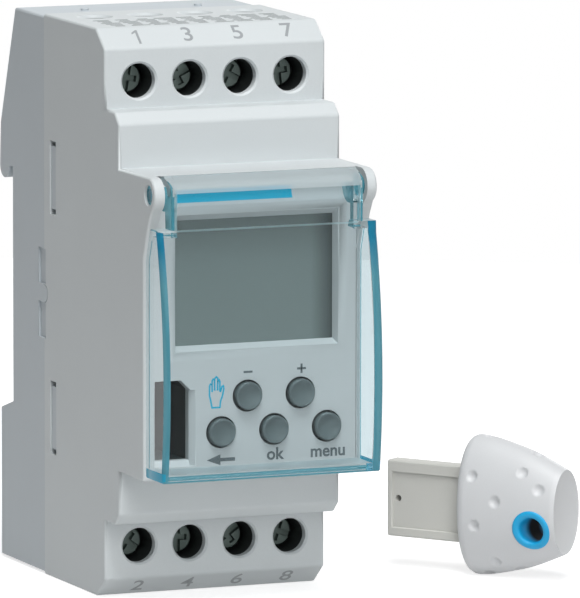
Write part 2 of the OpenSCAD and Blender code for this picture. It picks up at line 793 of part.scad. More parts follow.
module front_housing() color(housing_grey) difference() {
  union() {
    difference() {
      housing_block();
      housing_cavity();
    }
    both_sides() translate([half_w - ear_t / 2, 0, 0]) side_slab(ear_t) ear_outline();
    both_sides() box([inner_x - ledge_t, inner_x + bite], [main_front_y - ledge_d, main_front_y],
                     [-ledge_z, ledge_z]);
    both_sides() box([inner_x - panel_ledge_t, inner_x + bite],
                     [panel_back_y, panel_back_y + panel_ledge_d],
                     [panel_ledge_low, panel_ledge_low + panel_ledge_h]);
  }
  both_ends() for (column = [1 : row_count]) terminal_cuts(column);
  both_sides() both_ends()
    box([inner_x - cut, half_w + cut], [window_front_y, window_rear_y],
        [snap_z - snap_window_h / 2, snap_z + snap_window_h / 2]);
  rod_x(-half_w - cut, half_w + cut, hinge_y, hinge_z, pin_d + 2 * pin_gap);
  hinge_trough();
  pry_recesses();
  seam_tab(tab_r, pry_in + snap_gap, cut);
}

// Front panel

module slot_outline(grow)
  polygon([
    [slot_left - grow, slot_z - grow], [slot_right + grow, slot_z - grow],
    [slot_right + grow, slot_top + grow - slot_chamfer], [slot_right + grow - slot_chamfer, slot_top + grow],
    [slot_left - grow, slot_top + grow]
  ]);

// Sloping walls of the display window, wide at the fascia
module window_cut()
  hull() {
    box([window_left - window_side_bevel, window_right + window_side_bevel], [fascia_y - seat, fascia_y],
        [window_z - window_low_bevel, window_top_z + window_top_bevel]);
    box([window_left, window_right], [panel_back_y, panel_back_y + seat], [window_z, window_top_z]);
  }

module slot_lead_in() {
  translate([0, 0, slot_z - slot_bevel]) linear_extrude(slot_h - slot_chamfer + slot_bevel)
    polygon([[slot_right - seat, fascia_y - seat], [slot_right + slot_bevel, fascia_y - seat],
             [slot_right + slot_bevel, fascia_y], [slot_right - seat, fascia_y + slot_bevel]]);
  translate([(slot_left + slot_right) / 2, 0, 0]) side_slab(slot_w)
    polygon([[fascia_y - seat, slot_z + seat], [fascia_y - seat, slot_z - slot_bevel],
             [fascia_y, slot_z - slot_bevel], [fascia_y + slot_bevel, slot_z + seat]]);
}

module front_panel() color(panel_grey) {
  difference() {
    box([-panel_x, panel_x], [fascia_y, panel_back_y], [-panel_z, panel_z]);
    window_cut();
    hinge_trough();
    front_slab(fascia_y - cut, panel_back_y + cut) slot_outline(0);
    slot_lead_in();
    for (place = button_places)
      rod_y(place[0], fascia_y - cut, panel_back_y + cut, place[1], button_d + 2 * button_gap);
  }
  for (spot = [[-panel_post_x, panel_post_z], [panel_post_x, panel_post_z],
               [panel_post_x, -panel_post_z], [panel_post_mid_x, -panel_post_z]])
    rod_y(spot[0], panel_back_y - bite, display_front_y, spot[1], panel_post_d);
}

// Cover

// Bowed front of the cover, set in by an inset, between two heights
module cover_outline(inset, rear_y, low_z, high_z)
  intersection() {
    translate([cover_bow_y, cover_crown_z]) circle(cover_bow_r - inset, $fn = 360);
    polygon([[rear_y, low_z], [rear_y, high_z], [far_y, high_z], [far_y, low_z]]);
  }

// Front of the cover at its step, where the bow ends and the straight upper part begins
function bow_end_y(inset) =
  cover_bow_y - sqrt(pow(cover_bow_r - inset, 2) - pow(cover_step_z - cover_crown_z, 2));

// Front that is bowed up to the step and straight above it
module cover_profile(inset, rear_y, low_z) {
  cover_outline(inset, rear_y, low_z, cover_step_z);
  polygon([[rear_y, cover_step_z - seat], [rear_y, cover_top_z], [bow_end_y(inset), cover_top_z],
           [bow_end_y(inset), cover_step_z], [bow_end_y(inset) + seat, cover_step_z - seat]]);
}

// Room under the sloping top wall, from the hinge to the front
module below_top(inset)
  polygon([
    [hinge_y + inset * cut, cover_top_z - inset], [hinge_y, cover_top_z - inset],
    [cover_front_y, cover_top_z - inset - cover_top_fall], [far_y, cover_top_z - inset - cover_top_fall],
    [far_y, cover_low_z - cut], [hinge_y + inset * cut, cover_low_z - cut]
  ]);

module cover_wing()
  difference() {
    cover_outline(0, cover_rear_y, cover_low_z, cover_step_z);
    polygon([
      [cover_rear_y + cut, ear_root_z - cover_gap], [cover_rear_y, ear_root_z - cover_gap],
      [ear_low_y - cover_gap, ear_low_z], [ear_low_y - cover_gap, ear_low_z + cut],
      [cover_rear_y + cut, ear_low_z + cut]
    ]);
  }

// Side of the narrow upper part, from the knuckle to the front
module cover_arm() {
  translate([hinge_y, hinge_z]) circle(knuckle_r);
  intersection() {
    cover_profile(0, hinge_y, cover_step_z - cover_wall);
    below_top(0);
    polygon([
      [hinge_y, cover_top_z], [hinge_y, hinge_z], [arm_rear_y, hinge_z - knuckle_r],
      [arm_rear_y, cover_step_z - cover_wall], [far_y, cover_step_z - cover_wall], [far_y, cover_top_z]
    ]);
  }
}

// Curved lip round the hinge axis, from above the axis backwards
module cover_lip()
  translate([hinge_y, hinge_z]) intersection() {
    difference() {
      circle(knuckle_r);
      circle(knuckle_r - cover_lip_t);
    }
    polygon([[0, 0], [-bite, knuckle_r * 2], [knuckle_r * 2 * tan(cover_lip_angle), knuckle_r * 2]]);
  }

module cover() color(cover_teal) {
  difference() {
    union() {
      side_slab(2 * cover_x) cover_wing();
      side_slab(2 * narrow_x) intersection() {
        cover_profile(0, hinge_y, cover_low_z);
        below_top(0);
      }
    }
    side_slab(2 * (cover_x - cover_wall))
      cover_outline(cover_wall, fascia_y + cut, cover_low_z + cover_wall, cover_step_z - cover_wall);
    side_slab(2 * (narrow_x - cover_wall)) intersection() {
      cover_profile(cover_wall, fascia_y + cut, cover_low_z + cover_wall);
      below_top(cover_wall);
    }
    both_sides() translate([narrow_x - cover_wall / 2, 0, 0]) side_slab(cover_wall + cut) difference() {
      polygon([[fascia_y, cover_step_z], [fascia_y, cover_top_z + cut], [far_y, cover_top_z + cut],
               [far_y, cover_step_z]]);
      cover_arm();
    }
  }
  both_sides() translate([narrow_x - cover_wall / 2, 0, 0]) side_slab(cover_wall)
    translate([hinge_y, hinge_z]) circle(knuckle_r);
  side_slab(2 * narrow_x) cover_lip();
  both_sides() rod_x(narrow_x - bite, half_w - pin_recess, hinge_y, hinge_z, pin_d);
}

// Buttons and switches

module button(index) color(button_grey) {
  x = button_places[index][0];
  z = button_places[index][1];
  intersection() {
    rod_y(x, button_front_y, flange_front_y + bite, z, button_d);
    translate([x, button_front_y + dome_r, z]) sphere(dome_r);
  }
  rod_y(x, flange_front_y, flange_back_y, z, button_d + 2 * button_flange);
  rod_y(x, flange_back_y - bite, stem_end_y, z, stem_d);
}

module tact_switches() color(black)
  for (place = button_places)
    difference() {
      box([place[0] - switch_w / 2, place[0] + switch_w / 2], [switch_front_y, display_front_y],
          [place[1] - switch_w / 2, place[1] + switch_w / 2]);
      rod_y(place[0], switch_front_y - cut, switch_well_y, place[1], stem_d + 2 * stem_gap);
    }

// Display

module lcd_glass() color([0.5, 0.6, 0.58])
  box([window_left - lcd_border, window_right + lcd_border], [lcd_front_y, lcd_back_y],
      [window_z - lcd_border, window_top_z + lcd_border]);

module lcd_frame() color("white") difference() {
  box([window_left - lcd_border, window_right + lcd_border], [lcd_back_y, display_front_y],
      [window_z - lcd_border, window_top_z + lcd_border]);
  box([window_left - lcd_border + lcd_frame_wall, window_right + lcd_border - lcd_frame_wall],
      [lcd_back_y - cut, display_front_y + cut],
      [window_z - lcd_border + lcd_frame_wall, window_top_z + lcd_border - lcd_frame_wall]);
}

module zebra_strips() color(black)
  for (low = [window_z - zebra_edge, window_top_z + zebra_edge - zebra_t])
    box([window_left, window_right], [lcd_back_y, display_front_y], [low, low + zebra_t]);

module lcd_reflector() color("white")
  box([window_left, window_right], [lcd_back_y, lcd_back_y + reflector_t],
      [window_z - zebra_edge + zebra_t + seat, window_top_z + zebra_edge - zebra_t - seat]);

// Boards and what is soldered to them

module display_board() color(board_green) difference() {
  box([-display_board_x, display_board_x], [display_front_y, display_back_y],
      [-display_board_z, display_board_z]);
  box([-inner_x - cut, slot_right + socket_wall + seat], [display_front_y - cut, display_back_y + cut],
      [-display_board_z - cut, slot_top + socket_wall + seat]);
}

module microcontroller() color(black)
  box([button_mid_x - chip_w / 2, button_mid_x + chip_w / 2], [display_back_y, display_back_y + chip_t],
      [chip_z - chip_w / 2, chip_z + chip_w / 2]);

module quartz_crystal() color(metal_grey)
  rod_y(button_mid_x, display_back_y, display_back_y + crystal_l, crystal_z, crystal_d);

module main_board() color(board_green)
  box([-main_board_x, main_board_x], [main_front_y, main_back_y], [-main_board_z, main_board_z]);

function link_x(i) = (i - (link_count - 1) / 2) * link_pitch;

module link_header() color(black) difference() {
  box([link_x(0) - link_pitch / 2, link_x(link_count - 1) + link_pitch / 2],
      [main_front_y - link_header_w, main_front_y],
      [link_z - link_header_w / 2, link_z + link_header_w / 2]);
  for (i = [0 : link_count - 1]) link_pin(i, seat, main_front_y - link_header_w - cut, main_front_y + cut);
}

module link_pin(i, play, y0, y1)
  box([link_x(i) - link_pin_w / 2 - play, link_x(i) + link_pin_w / 2 + play], [y0, y1],
      [link_z - link_pin_w / 2 - play, link_z + link_pin_w / 2 + play]);

module link_pins() color("goldenrod")
  for (i = [0 : link_count - 1]) link_pin(i, 0, display_back_y, main_front_y);

module backup_battery() color(metal_grey)
  rod_y(battery_x, main_front_y - battery_t, main_front_y, battery_z, battery_d);

module x2_capacitor() color("gold")
  box([supply_x - x2_w / 2, supply_x + x2_w / 2], [main_back_y, main_back_y + x2_h],
      [x2_z - x2_l / 2, x2_z + x2_l / 2]);

module supply_capacitor() color("darkslateblue")
  rod_y(supply_x, main_back_y, main_back_y + supply_h, supply_z, supply_d);

module varistor() color("royalblue") {
  rod_z(supply_x, main_back_y + varistor_d / 2 + cut,
        varistor_z - varistor_t / 2, varistor_z + varistor_t / 2, varistor_d);
  box([supply_x - varistor_foot, supply_x + varistor_foot], [main_back_y, main_back_y + varistor_d / 2],
      [varistor_z - varistor_t / 2, varistor_z + varistor_t / 2]);
}

module bridge_rectifier() color(black)
  box([supply_x - rectifier_w / 2, supply_x + rectifier_w / 2],
      [main_back_y, main_back_y + rectifier_h],
      [rectifier_z - rectifier_w / 2, rectifier_z + rectifier_w / 2]);

// Relay

module on_relay() translate([relay_x, main_back_y, relay_mid_z]) children();

module relay_base() color(black) on_relay()
  box([-relay_w / 2, relay_w / 2], [0, relay_base_t], [-relay_l / 2, relay_l / 2]);

module relay_cover() color("dimgray") on_relay() difference() {
  box([-relay_w / 2, relay_w / 2], [relay_base_t, relay_h], [-relay_l / 2, relay_l / 2]);
  box([-relay_w / 2 + relay_wall, relay_w / 2 - relay_wall], [relay_base_t - cut, relay_h - relay_wall],
      [-relay_l / 2 + relay_wall, relay_l / 2 - relay_wall]);
}

module relay_yoke() color(metal_grey) on_relay() {
  box([-yoke_w / 2, yoke_w / 2], [relay_base_t, yoke_foot_y], [coil_z - coil_d / 2, hinge_end_z]);
  box([-yoke_w / 2, yoke_w / 2], [relay_base_t, yoke_end_y], [yoke_wall_z, hinge_end_z]);
}

module relay_coil() color("peru") on_relay() {
  flange_t = 1;
  rod_y(0, yoke_foot_y, yoke_foot_y + flange_t, coil_z, coil_d);
  rod_y(0, yoke_foot_y, coil_end_y, coil_z, coil_d - flange_t);
  rod_y(0, coil_end_y - flange_t, coil_end_y, coil_z, coil_d);
  rod_y(0, coil_end_y - flange_t, core_end_y, coil_z, core_d);
}

module relay_armature() color(metal_grey) on_relay()
  box([-yoke_w / 2, yoke_w / 2], [armature_y, armature_y + yoke_t], [armature_low_z, hinge_end_z]);

module relay_moving_contact() color("orange") on_relay() {
  box([-contact_arm, contact_arm], [armature_y + yoke_t, armature_y + yoke_t + strip_t],
      [strip_low_z, coil_z]);
  rod_y(0, moving_face_y, armature_y + yoke_t + strip_t, contact_z, contact_d);
}

module relay_fixed_contact() color("orange") on_relay() {
  box([-contact_half_w, contact_half_w], [relay_base_t, moving_face_y - contact_gap - rivet_t],
      [contact_z - contact_half_w, contact_z + contact_half_w]);
  rod_y(0, moving_face_y - contact_gap - rivet_t - bite, moving_face_y - contact_gap, contact_z, contact_d);
}

// Terminals

// Solid round the screws with ribs between the clamps, at the upper end
module block_solid() {
  box([-inner_x, inner_x], [face_y, shelf_back_y], [funnel_z, end_z]);
  for (i = [1 : row_count - 1])
    translate([(i - row_count / 2) * terminal_pitch - rib_t / 2, 0, 0])
      box([0, rib_t], [face_y, rib_back_y], [funnel_z, end_z]);
}

module terminal_block() color(black) difference() {
  intersection() {
    side_slab(2 * (inner_x - block_gap))
      polygon(both_halves(step_outline(wall + seat, rib_back_y, face_y)));
    block_solid();
  }
  for (column = [1 : row_count]) {
    rod_y(column_x(column), face_y, shelf_front_y, terminal_z, access_d);
    rod_y(column_x(column), shelf_front_y - cut, shelf_back_y + cut, terminal_z, thread_d + 2 * thread_gap);
  }
}

module terminal_screw(index) color(metal_grey) {
  x = terminal_x(index);
  z = terminal_row(index) * terminal_z;
  difference() {
    rod_y(x, head_front_y, head_back_y, z, head_d);
    box([x - head_d, x + head_d], [head_front_y - cut, head_front_y + head_t / 2],
        [z - driver_slot_w / 2, z + driver_slot_w / 2]);
  }
  rod_y(x, head_back_y - bite, screw_tip_y, z, thread_d);
}

module terminal_cage(index) color([0.75, 0.73, 0.6]) {
  x = terminal_x(index);
  z = terminal_row(index) * terminal_z;
  difference() {
    box([x - clamp_w / 2, x + clamp_w / 2], [clamp_open_y, clamp_back_y], [z - clamp_l / 2, z + clamp_l / 2]);
    box([x - clamp_w / 2 + clamp_side_t, x + clamp_w / 2 - clamp_side_t], [clamp_plate_back_y, clamp_floor_y],
        [z - clamp_l, z + clamp_l]);
    rod_y(x, clamp_open_y - cut, clamp_plate_back_y + cut, z, thread_d + 2 * thread_gap);
  }
}

module terminal_bars() color("chocolate")
  both_ends() for (column = [1 : row_count])
    box([column_x(column) - bar_w / 2, column_x(column) + bar_w / 2], [bar_front_y, bar_back_y],
        [bar_root_z, bar_end_z]);

// Key socket

module key_socket() color(black) difference() {
  box([slot_left - socket_wall, slot_right + socket_wall], [socket_front_y, socket_back_y + socket_floor],
      [max(slot_z - socket_wall, -panel_z), slot_top + socket_wall]);
  front_slab(socket_front_y - cut, socket_back_y) slot_outline(0);
}

module key_contacts() color("goldenrod")
  for (i = [0 : contact_count - 1]) {
    z = slot_z + slot_h / 2 + (i - (contact_count - 1) / 2) * contact_pitch;
    box([slot_left, slot_left + contact_t], [socket_front_y + 2 * cut, socket_back_y - cut],
        [z - contact_w / 2, z + contact_w / 2]);
  }

// Program key, with its grip standing on the surface under the timer

module key_place()
  translate([key_x, -key_d, key_z]) rotate([0, 0, key_turn])
    translate([0, grip_peak_u, grip_axis_z]) children();

// Extrudes an outline drawn as (X, Z) between two distances along the grip
module along_key(u0, u1) front_slab(-u1, -u0) children();

module blade_outline()
  polygon([
    [-blade_t / 2, -blade_h / 2], [blade_t / 2, -blade_h / 2], [blade_t / 2, blade_h / 2 - blade_chamfer],
    [blade_t / 2 - blade_chamfer, blade_h / 2], [-blade_t / 2, blade_h / 2]
  ]);

module key_body() color([0.72, 0.72, 0.7]) key_place() {
  difference() {
    along_key(-blade_l, bite) blade_outline();
    box([-blade_t / 2 - cut, -blade_t / 2 + blade_panel_in], [-cut, blade_l - panel_tip_margin],
        [-blade_h / 2 + panel_low_margin, blade_h / 2 - panel_top_margin]);
    rod_x(-blade_t, blade_t, blade_l - 2 * panel_tip_margin, 0, blade_hole_d);
    for (i = [0 : contact_count - 1]) key_pad(i, cut, seat);
  }
  along_key(0, core_l) square([blade_t - blade_panel_in, core_h], center = true);
}

module key_pad(i, proud, play) {
  z = (i - (contact_count - 1) / 2) * contact_pitch - blade_chamfer / 2;
  box([blade_t / 2 - pad_t - play, blade_t / 2 + proud],
      [blade_l - 2 * cut - pad_l - play, blade_l - 2 * cut + play],
      [z - contact_w / 2 - play, z + contact_w / 2 + play]);
}

module key_pads() color("gold") key_place()
  for (i = [0 : contact_count - 1]) translate([-seat, 0, 0]) key_pad(i, 0, 0);

module grip_hull()
  hull() for (ring = grip_rings)
    translate([0, -ring[0], 0]) rotate([90, 0, 0])
      linear_extrude(seat) scale([ring[1] / 2, ring[2] / 2]) circle(1, $fn = 32);

module dimple(place) {
  out = dimple_r - dimple_depth;
  translate([-(grip_half_t(place[0]) + out) * cos(place[1]), -place[0],
             (grip_half_h(place[0]) + out) * sin(place[1])])
    sphere(dimple_r, $fn = 24);
}

module key_grip() color([0.9, 0.91, 0.92]) key_place() difference() {
  grip_hull();
  along_key(-cut, core_l + core_gap)
    square([blade_t - blade_panel_in + 2 * core_gap, core_h + 2 * core_gap], center = true);
  along_key(-cut, bite + core_gap) square([blade_t + 2 * core_gap, blade_h + 2 * core_gap], center = true);
  rod_x(-grip_t, grip_t, -eyelet_u, -eyelet_drop, eyelet_d + 2 * eyelet_gap);
  for (place = dimple_places) dimple(place);
}

module key_eyelet() color("deepskyblue") key_place() difference() {
  intersection() {
    grip_hull();
    rod_x(-grip_t, grip_t, -eyelet_u, -eyelet_drop, eyelet_d);
  }
  rod_x(-grip_t, grip_t, -eyelet_u, -eyelet_drop, eyelet_hole_d);
}

rear_base();
rail_latch();
front_housing();
front_panel();
cover();
button(0);  // minus_button
button(1);  // plus_button
button(2);  // back_button
button(3);  // ok_button
button(4);  // menu_button
lcd_glass();
lcd_frame();
lcd_reflector();
zebra_strips();
display_board();
tact_switches();
microcontroller();
quartz_crystal();
main_board();
link_header();
link_pins();
backup_battery();
relay_base();
relay_cover();
relay_coil();
relay_yoke();
relay_armature();
relay_moving_contact();
relay_fixed_contact();
x2_capacitor();
supply_capacitor();
varistor();
bridge_rectifier();
key_socket();
key_contacts();
terminal_block();  // upper_terminal_block
mirror([0, 0, 1]) terminal_block();  // lower_terminal_block
terminal_bars();
for (index = [1 : 2 * row_count]) {
  terminal_screw(index);
  terminal_cage(index);
}
key_body();
key_grip();
key_eyelet();
key_pads();
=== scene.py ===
import math

import bmesh
import bpy
from mathutils import Matrix, Vector


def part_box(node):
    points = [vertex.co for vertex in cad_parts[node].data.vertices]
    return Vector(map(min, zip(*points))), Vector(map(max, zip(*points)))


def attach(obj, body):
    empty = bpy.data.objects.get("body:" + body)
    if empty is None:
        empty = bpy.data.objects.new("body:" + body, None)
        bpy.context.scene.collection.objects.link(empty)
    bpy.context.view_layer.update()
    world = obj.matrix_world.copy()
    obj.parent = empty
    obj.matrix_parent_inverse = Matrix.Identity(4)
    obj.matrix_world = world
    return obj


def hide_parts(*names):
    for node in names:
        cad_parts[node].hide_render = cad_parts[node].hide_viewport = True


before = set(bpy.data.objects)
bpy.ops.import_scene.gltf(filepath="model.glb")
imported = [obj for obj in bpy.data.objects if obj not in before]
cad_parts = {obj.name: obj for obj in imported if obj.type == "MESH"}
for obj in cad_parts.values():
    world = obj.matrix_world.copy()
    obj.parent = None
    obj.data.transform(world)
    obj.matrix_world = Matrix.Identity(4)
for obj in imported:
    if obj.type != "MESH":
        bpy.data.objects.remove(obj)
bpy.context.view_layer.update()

MM = 0.001

# Studio: a pale floor under the timer's lower end, softboxes in front on the left, overhead and
# low in front, a weak one behind on the right, and a camera with a long lens in front on the left.
FLOOR_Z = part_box("front_housing")[0].z
FLOOR_RADIUS = 0.34
FLOOR_SIDES = 96


def placed(name, data):
    """A new object in the scene."""
    thing = bpy.data.objects.new(name, data)
    bpy.context.collection.objects.link(thing)
    return thing


def new_material(name):
    """A material, its node tree and its main shader."""
    material = bpy.data.materials.new(name)
    material.use_nodes = True
    return material, material.node_tree, material.node_tree.nodes["Principled BSDF"]


floor_mesh = bpy.data.meshes.new("studio_floor")
corners = [math.tau * k / FLOOR_SIDES for k in range(FLOOR_SIDES)]
floor_mesh.from_pydata(
    [(FLOOR_RADIUS * math.cos(corner), FLOOR_RADIUS * math.sin(corner), FLOOR_Z) for corner in corners],
    [], [range(FLOOR_SIDES)])
floor = placed("studio_floor", floor_mesh)
floor_material, floor_tree, floor_shader = new_material("pale floor")
floor_shader.inputs["Base Color"].default_value = (0.62, 0.62, 0.62, 1)
floor_shader.inputs["Roughness"].default_value = 0.9
floor_shader.inputs["Specular IOR Level"].default_value = 0.1
floor_mesh.materials.append(floor_material)


def sums(tree, operation, *terms):
    """One Math node whose terms are sockets or plain numbers."""
    node = tree.nodes.new("ShaderNodeMath")
    node.operation = operation
    for place, term in enumerate(terms):
        if isinstance(term, bpy.types.NodeSocket):
            tree.links.new(term, node.inputs[place])
        else:
            node.inputs[place].default_value = term
    return node.outputs[0]


def seen_directly(tree):
    """1 on rays that show the background to the camera, also by way of glass or gloss, and else 0."""
    rays = tree.nodes.new("ShaderNodeLightPath").outputs
    seen = rays["Is Camera Ray"]
    for label in ("Is Glossy Ray", "Is Transmission Ray"):
        seen = sums(tree, "MAXIMUM", seen, rays[label])
    undiffused = sums(tree, "LESS_THAN", rays["Diffuse Depth"], 0.5)
    return sums(tree, "MULTIPLY", seen, undiffused)


def ramp(tree, value, start=0.0, end=1.0, first=0.0, last=1.0):
    """A value that goes from first to last while another goes from start to end."""
    node = tree.nodes.new("ShaderNodeMapRange")
    limits = {"From Min": start, "From Max": end, "To Min": first, "To Max": last}
    for label, limit in limits.items():
        node.inputs[label].default_value = limit
    tree.links.new(value, node.inputs["Value"])
    return node


FLOOR_GLOW = 0.12
FLOOR_SEEN_GLOW = 0.68
glow = ramp(floor_tree, seen_directly(floor_tree), first=FLOOR_GLOW, last=FLOOR_SEEN_GLOW)
floor_tree.links.new(glow.outputs["Result"], floor_shader.inputs["Emission Strength"])
floor_shader.inputs["Emission Color"].default_value = (1, 1, 1, 1)

TARGET = Vector((0, -25, 0)) * MM
LAMP_DISTANCE = 1.3
LAMP_SIZE = 0.6


def softbox(name, azimuth, elevation, power):
    data = bpy.data.lights.new(name, "AREA")
    data.shape = "DISK"
    data.size = LAMP_SIZE
    data.energy = power
    lamp = placed(name, data)
    turn, rise = math.radians(azimuth), math.radians(elevation)
    away = Vector((math.sin(turn) * math.cos(rise), -math.cos(turn) * math.cos(rise), math.sin(rise)))
    lamp.location = TARGET + away * LAMP_DISTANCE
    lamp.rotation_euler = away.to_track_quat("Z", "Y").to_euler()


softbox("front softbox", azimuth=-15, elevation=35, power=4.8)
softbox("overhead softbox", azimuth=-12, elevation=67, power=13.0)
softbox("low fill", azimuth=-2, elevation=10, power=2.9)
softbox("back fill", azimuth=130, elevation=14, power=4.0)

world = bpy.data.worlds.new("white studio")
bpy.context.scene.world = world
world.use_nodes = True
sky = world.node_tree
SKY_LIGHT = 0.04
level = ramp(sky, seen_directly(sky), first=SKY_LIGHT)
sky.links.new(level.outputs["Result"], sky.nodes["Background"].inputs["Strength"])
sky.nodes["Background"].inputs["Color"].default_value = (1, 1, 1, 1)

IMAGE_HEIGHT = 598
FOCAL_PIXELS = 9466.35
CAMERA_DISTANCE = 1.4054
CAMERA_AZIMUTH = math.radians(-22.0148)
CAMERA_RISE = math.radians(7.82)
CAMERA_PAN = math.radians(0.649)
SENSOR = 36
camera_data = bpy.data.cameras.new("camera")
camera_data.sensor_fit = "VERTICAL"
camera_data.sensor_height = SENSOR
camera_data.lens = FOCAL_PIXELS * SENSOR / IMAGE_HEIGHT
camera_data.clip_start = 0.01
camera_data.clip_end = 20
camera = placed("camera", camera_data)
backward = Vector((math.sin(CAMERA_AZIMUTH) * math.cos(CAMERA_RISE),
                   -math.cos(CAMERA_AZIMUTH) * math.cos(CAMERA_RISE), math.sin(CAMERA_RISE)))
rightward = Vector((math.cos(CAMERA_AZIMUTH), math.sin(CAMERA_AZIMUTH), 0))
upward = backward.cross(rightward)
panned_right = rightward * math.cos(CAMERA_PAN) + backward * math.sin(CAMERA_PAN)
panned_back = backward * math.cos(CAMERA_PAN) - rightward * math.sin(CAMERA_PAN)
facing = Matrix((panned_right, upward, panned_back)).transposed().to_4x4()
camera.matrix_world = Matrix.Translation(TARGET + backward * CAMERA_DISTANCE) @ facing
bpy.context.scene.camera = camera
bpy.context.scene.view_settings.view_transform = "Standard"

# Rear base: the grey tray that hooks on the rail, injection moulded in a stiff thermoplastic.
# Snap arms on its sides click into windows of the front housing along the seam.


def shade(red, green, blue):
    """A colour named by its 8-bit screen values, as the linear values that a shader takes."""
    linear = [(v / 255 / 12.92) if v < 11 else ((v / 255 + 0.055) / 1.055) ** 2.4
              for v in (red, green, blue)]
    return (*linear, 1)


def new_group(name, inputs, outputs):
    group = bpy.data.node_groups.new(name, "ShaderNodeTree")
    for label, kind, value in inputs:
        group.interface.new_socket(label, in_out="INPUT", socket_type=kind).default_value = value
    for label, kind in outputs:
        group.interface.new_socket(label, in_out="OUTPUT", socket_type=kind)
    return group, group.nodes.new("NodeGroupInput"), group.nodes.new("NodeGroupOutput")


def noise(tree, coordinates, scale, detail):
    texture = tree.nodes.new("ShaderNodeTexNoise")
    texture.inputs["Detail"].default_value = detail
    tree.links.new(coordinates, texture.inputs["Vector"])
    if isinstance(scale, bpy.types.NodeSocket):
        tree.links.new(scale, texture.inputs["Scale"])
    else:
        texture.inputs["Scale"].default_value = scale
    return texture.outputs["Fac"]


def tinted(tree, colour, strength):
    """A colour made lighter or darker by a value that changes over the surface."""
    scaled = tree.nodes.new("ShaderNodeVectorMath")
    scaled.operation = "SCALE"
    tree.links.new(colour, scaled.inputs[0])
    tree.links.new(strength, scaled.inputs["Scale"])
    return scaled.outputs[0]


SURFACE_OUTPUTS = (("Colour", "NodeSocketColor"), ("Roughness", "NodeSocketFloat"),
                   ("Height", "NodeSocketFloat"))


def give(group, given, *values):
    """Hands a surface group's colour, roughness and height to its outputs."""
    for (label, kind), value in zip(SURFACE_OUTPUTS, values):
        group.links.new(value, given.inputs[label])


# Fine spark-eroded grain of a mould, with the slow drift of colour that plastic granules leave
moulded_grain, taken, given = new_group(
    "moulded grain",
    (("Colour", "NodeSocketColor", (0.6, 0.6, 0.6, 1)), ("Grain Scale", "NodeSocketFloat", 5000),
     ("Drift", "NodeSocketFloat", 0.05), ("Roughness", "NodeSocketFloat", 0.5)),
    SURFACE_OUTPUTS)
CLOUD_SCALE = 70
SPECKLE = 0.05
place = moulded_grain.nodes.new("ShaderNodeTexCoord").outputs["Object"]
pits = noise(moulded_grain, place, taken.outputs["Grain Scale"], 2)
clouds = noise(moulded_grain, place, CLOUD_SCALE, 3)
uneven = sums(moulded_grain, "SUBTRACT", clouds, 0.5)
drift = sums(moulded_grain, "MULTIPLY", uneven, taken.outputs["Drift"])
speckle = sums(moulded_grain, "MULTIPLY", sums(moulded_grain, "SUBTRACT", pits, 0.5), SPECKLE)
level = sums(moulded_grain, "ADD", sums(moulded_grain, "ADD", drift, speckle), 1)
matt = sums(moulded_grain, "MULTIPLY_ADD", pits, 0.1, taken.outputs["Roughness"])
give(moulded_grain, given, tinted(moulded_grain, taken.outputs["Colour"], level), matt, pits)


def finish_with(name, group, values, relief, specular=0.5):
    """A material whose colour, roughness and relief come from one surface group."""
    material, tree, shader = new_material(name)
    surface = tree.nodes.new("ShaderNodeGroup")
    surface.node_tree = group
    for label, value in values.items():
        surface.inputs[label].default_value = value
    bump = tree.nodes.new("ShaderNodeBump")
    bump.inputs["Distance"].default_value = relief
    tree.links.new(surface.outputs["Colour"], shader.inputs["Base Color"])
    tree.links.new(surface.outputs["Roughness"], shader.inputs["Roughness"])
    tree.links.new(surface.outputs["Height"], bump.inputs["Height"])
    tree.links.new(bump.outputs["Normal"], shader.inputs["Normal"])
    shader.inputs["Specular IOR Level"].default_value = specular
    return material, shader


def moulded(name, colour, roughness, grain=5000, relief=0.012 * MM, drift=0.06):
    values = {"Colour": colour, "Grain Scale": grain, "Drift": drift, "Roughness": roughness}
    return finish_with(name, moulded_grain, values, relief)[0]


X, Y, Z = range(3)


def merged_solid(node, cuts):
    """A CAD node's triangles joined to one solid with whole faces, split by planes through its holes."""
    solid = bmesh.new()
    solid.from_mesh(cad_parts[node].data)
    bmesh.ops.remove_doubles(solid, verts=solid.verts, dist=0.001 * MM)
    for axis, at in cuts:
        across = Vector((0, 0, 0))
        across[axis] = 1
        parts = solid.verts[:] + solid.edges[:] + solid.faces[:]
        split = bmesh.ops.bisect_plane(solid, geom=parts, dist=0.0001 * MM, plane_co=across * at * MM,
                                       plane_no=across)
        for part in split["geom_cut"]:
            if isinstance(part, bmesh.types.BMEdge):
                part.seam = True
    bmesh.ops.dissolve_limit(solid, angle_limit=math.radians(0.4), verts=solid.verts, edges=solid.edges,
                             delimit={"SEAM"})
    return solid


def add_piece(name, solid, body, material, replaced=()):
    """Makes a piece of a finished solid or mesh and hands it to its body."""
    if isinstance(solid, bmesh.types.BMesh):
        mesh = bpy.data.meshes.new(name)
        solid.to_mesh(mesh)
        solid.free()
        carried = mesh.attributes.get("custom_normal")
        if carried:
            mesh.attributes.remove(carried)
    else:
        mesh = solid
        mesh.name = name
    mesh.materials.clear()
    mesh.materials.append(material)
    piece = placed(name, mesh)
    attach(piece, body)
    if replaced:
        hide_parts(*replaced)
    return piece


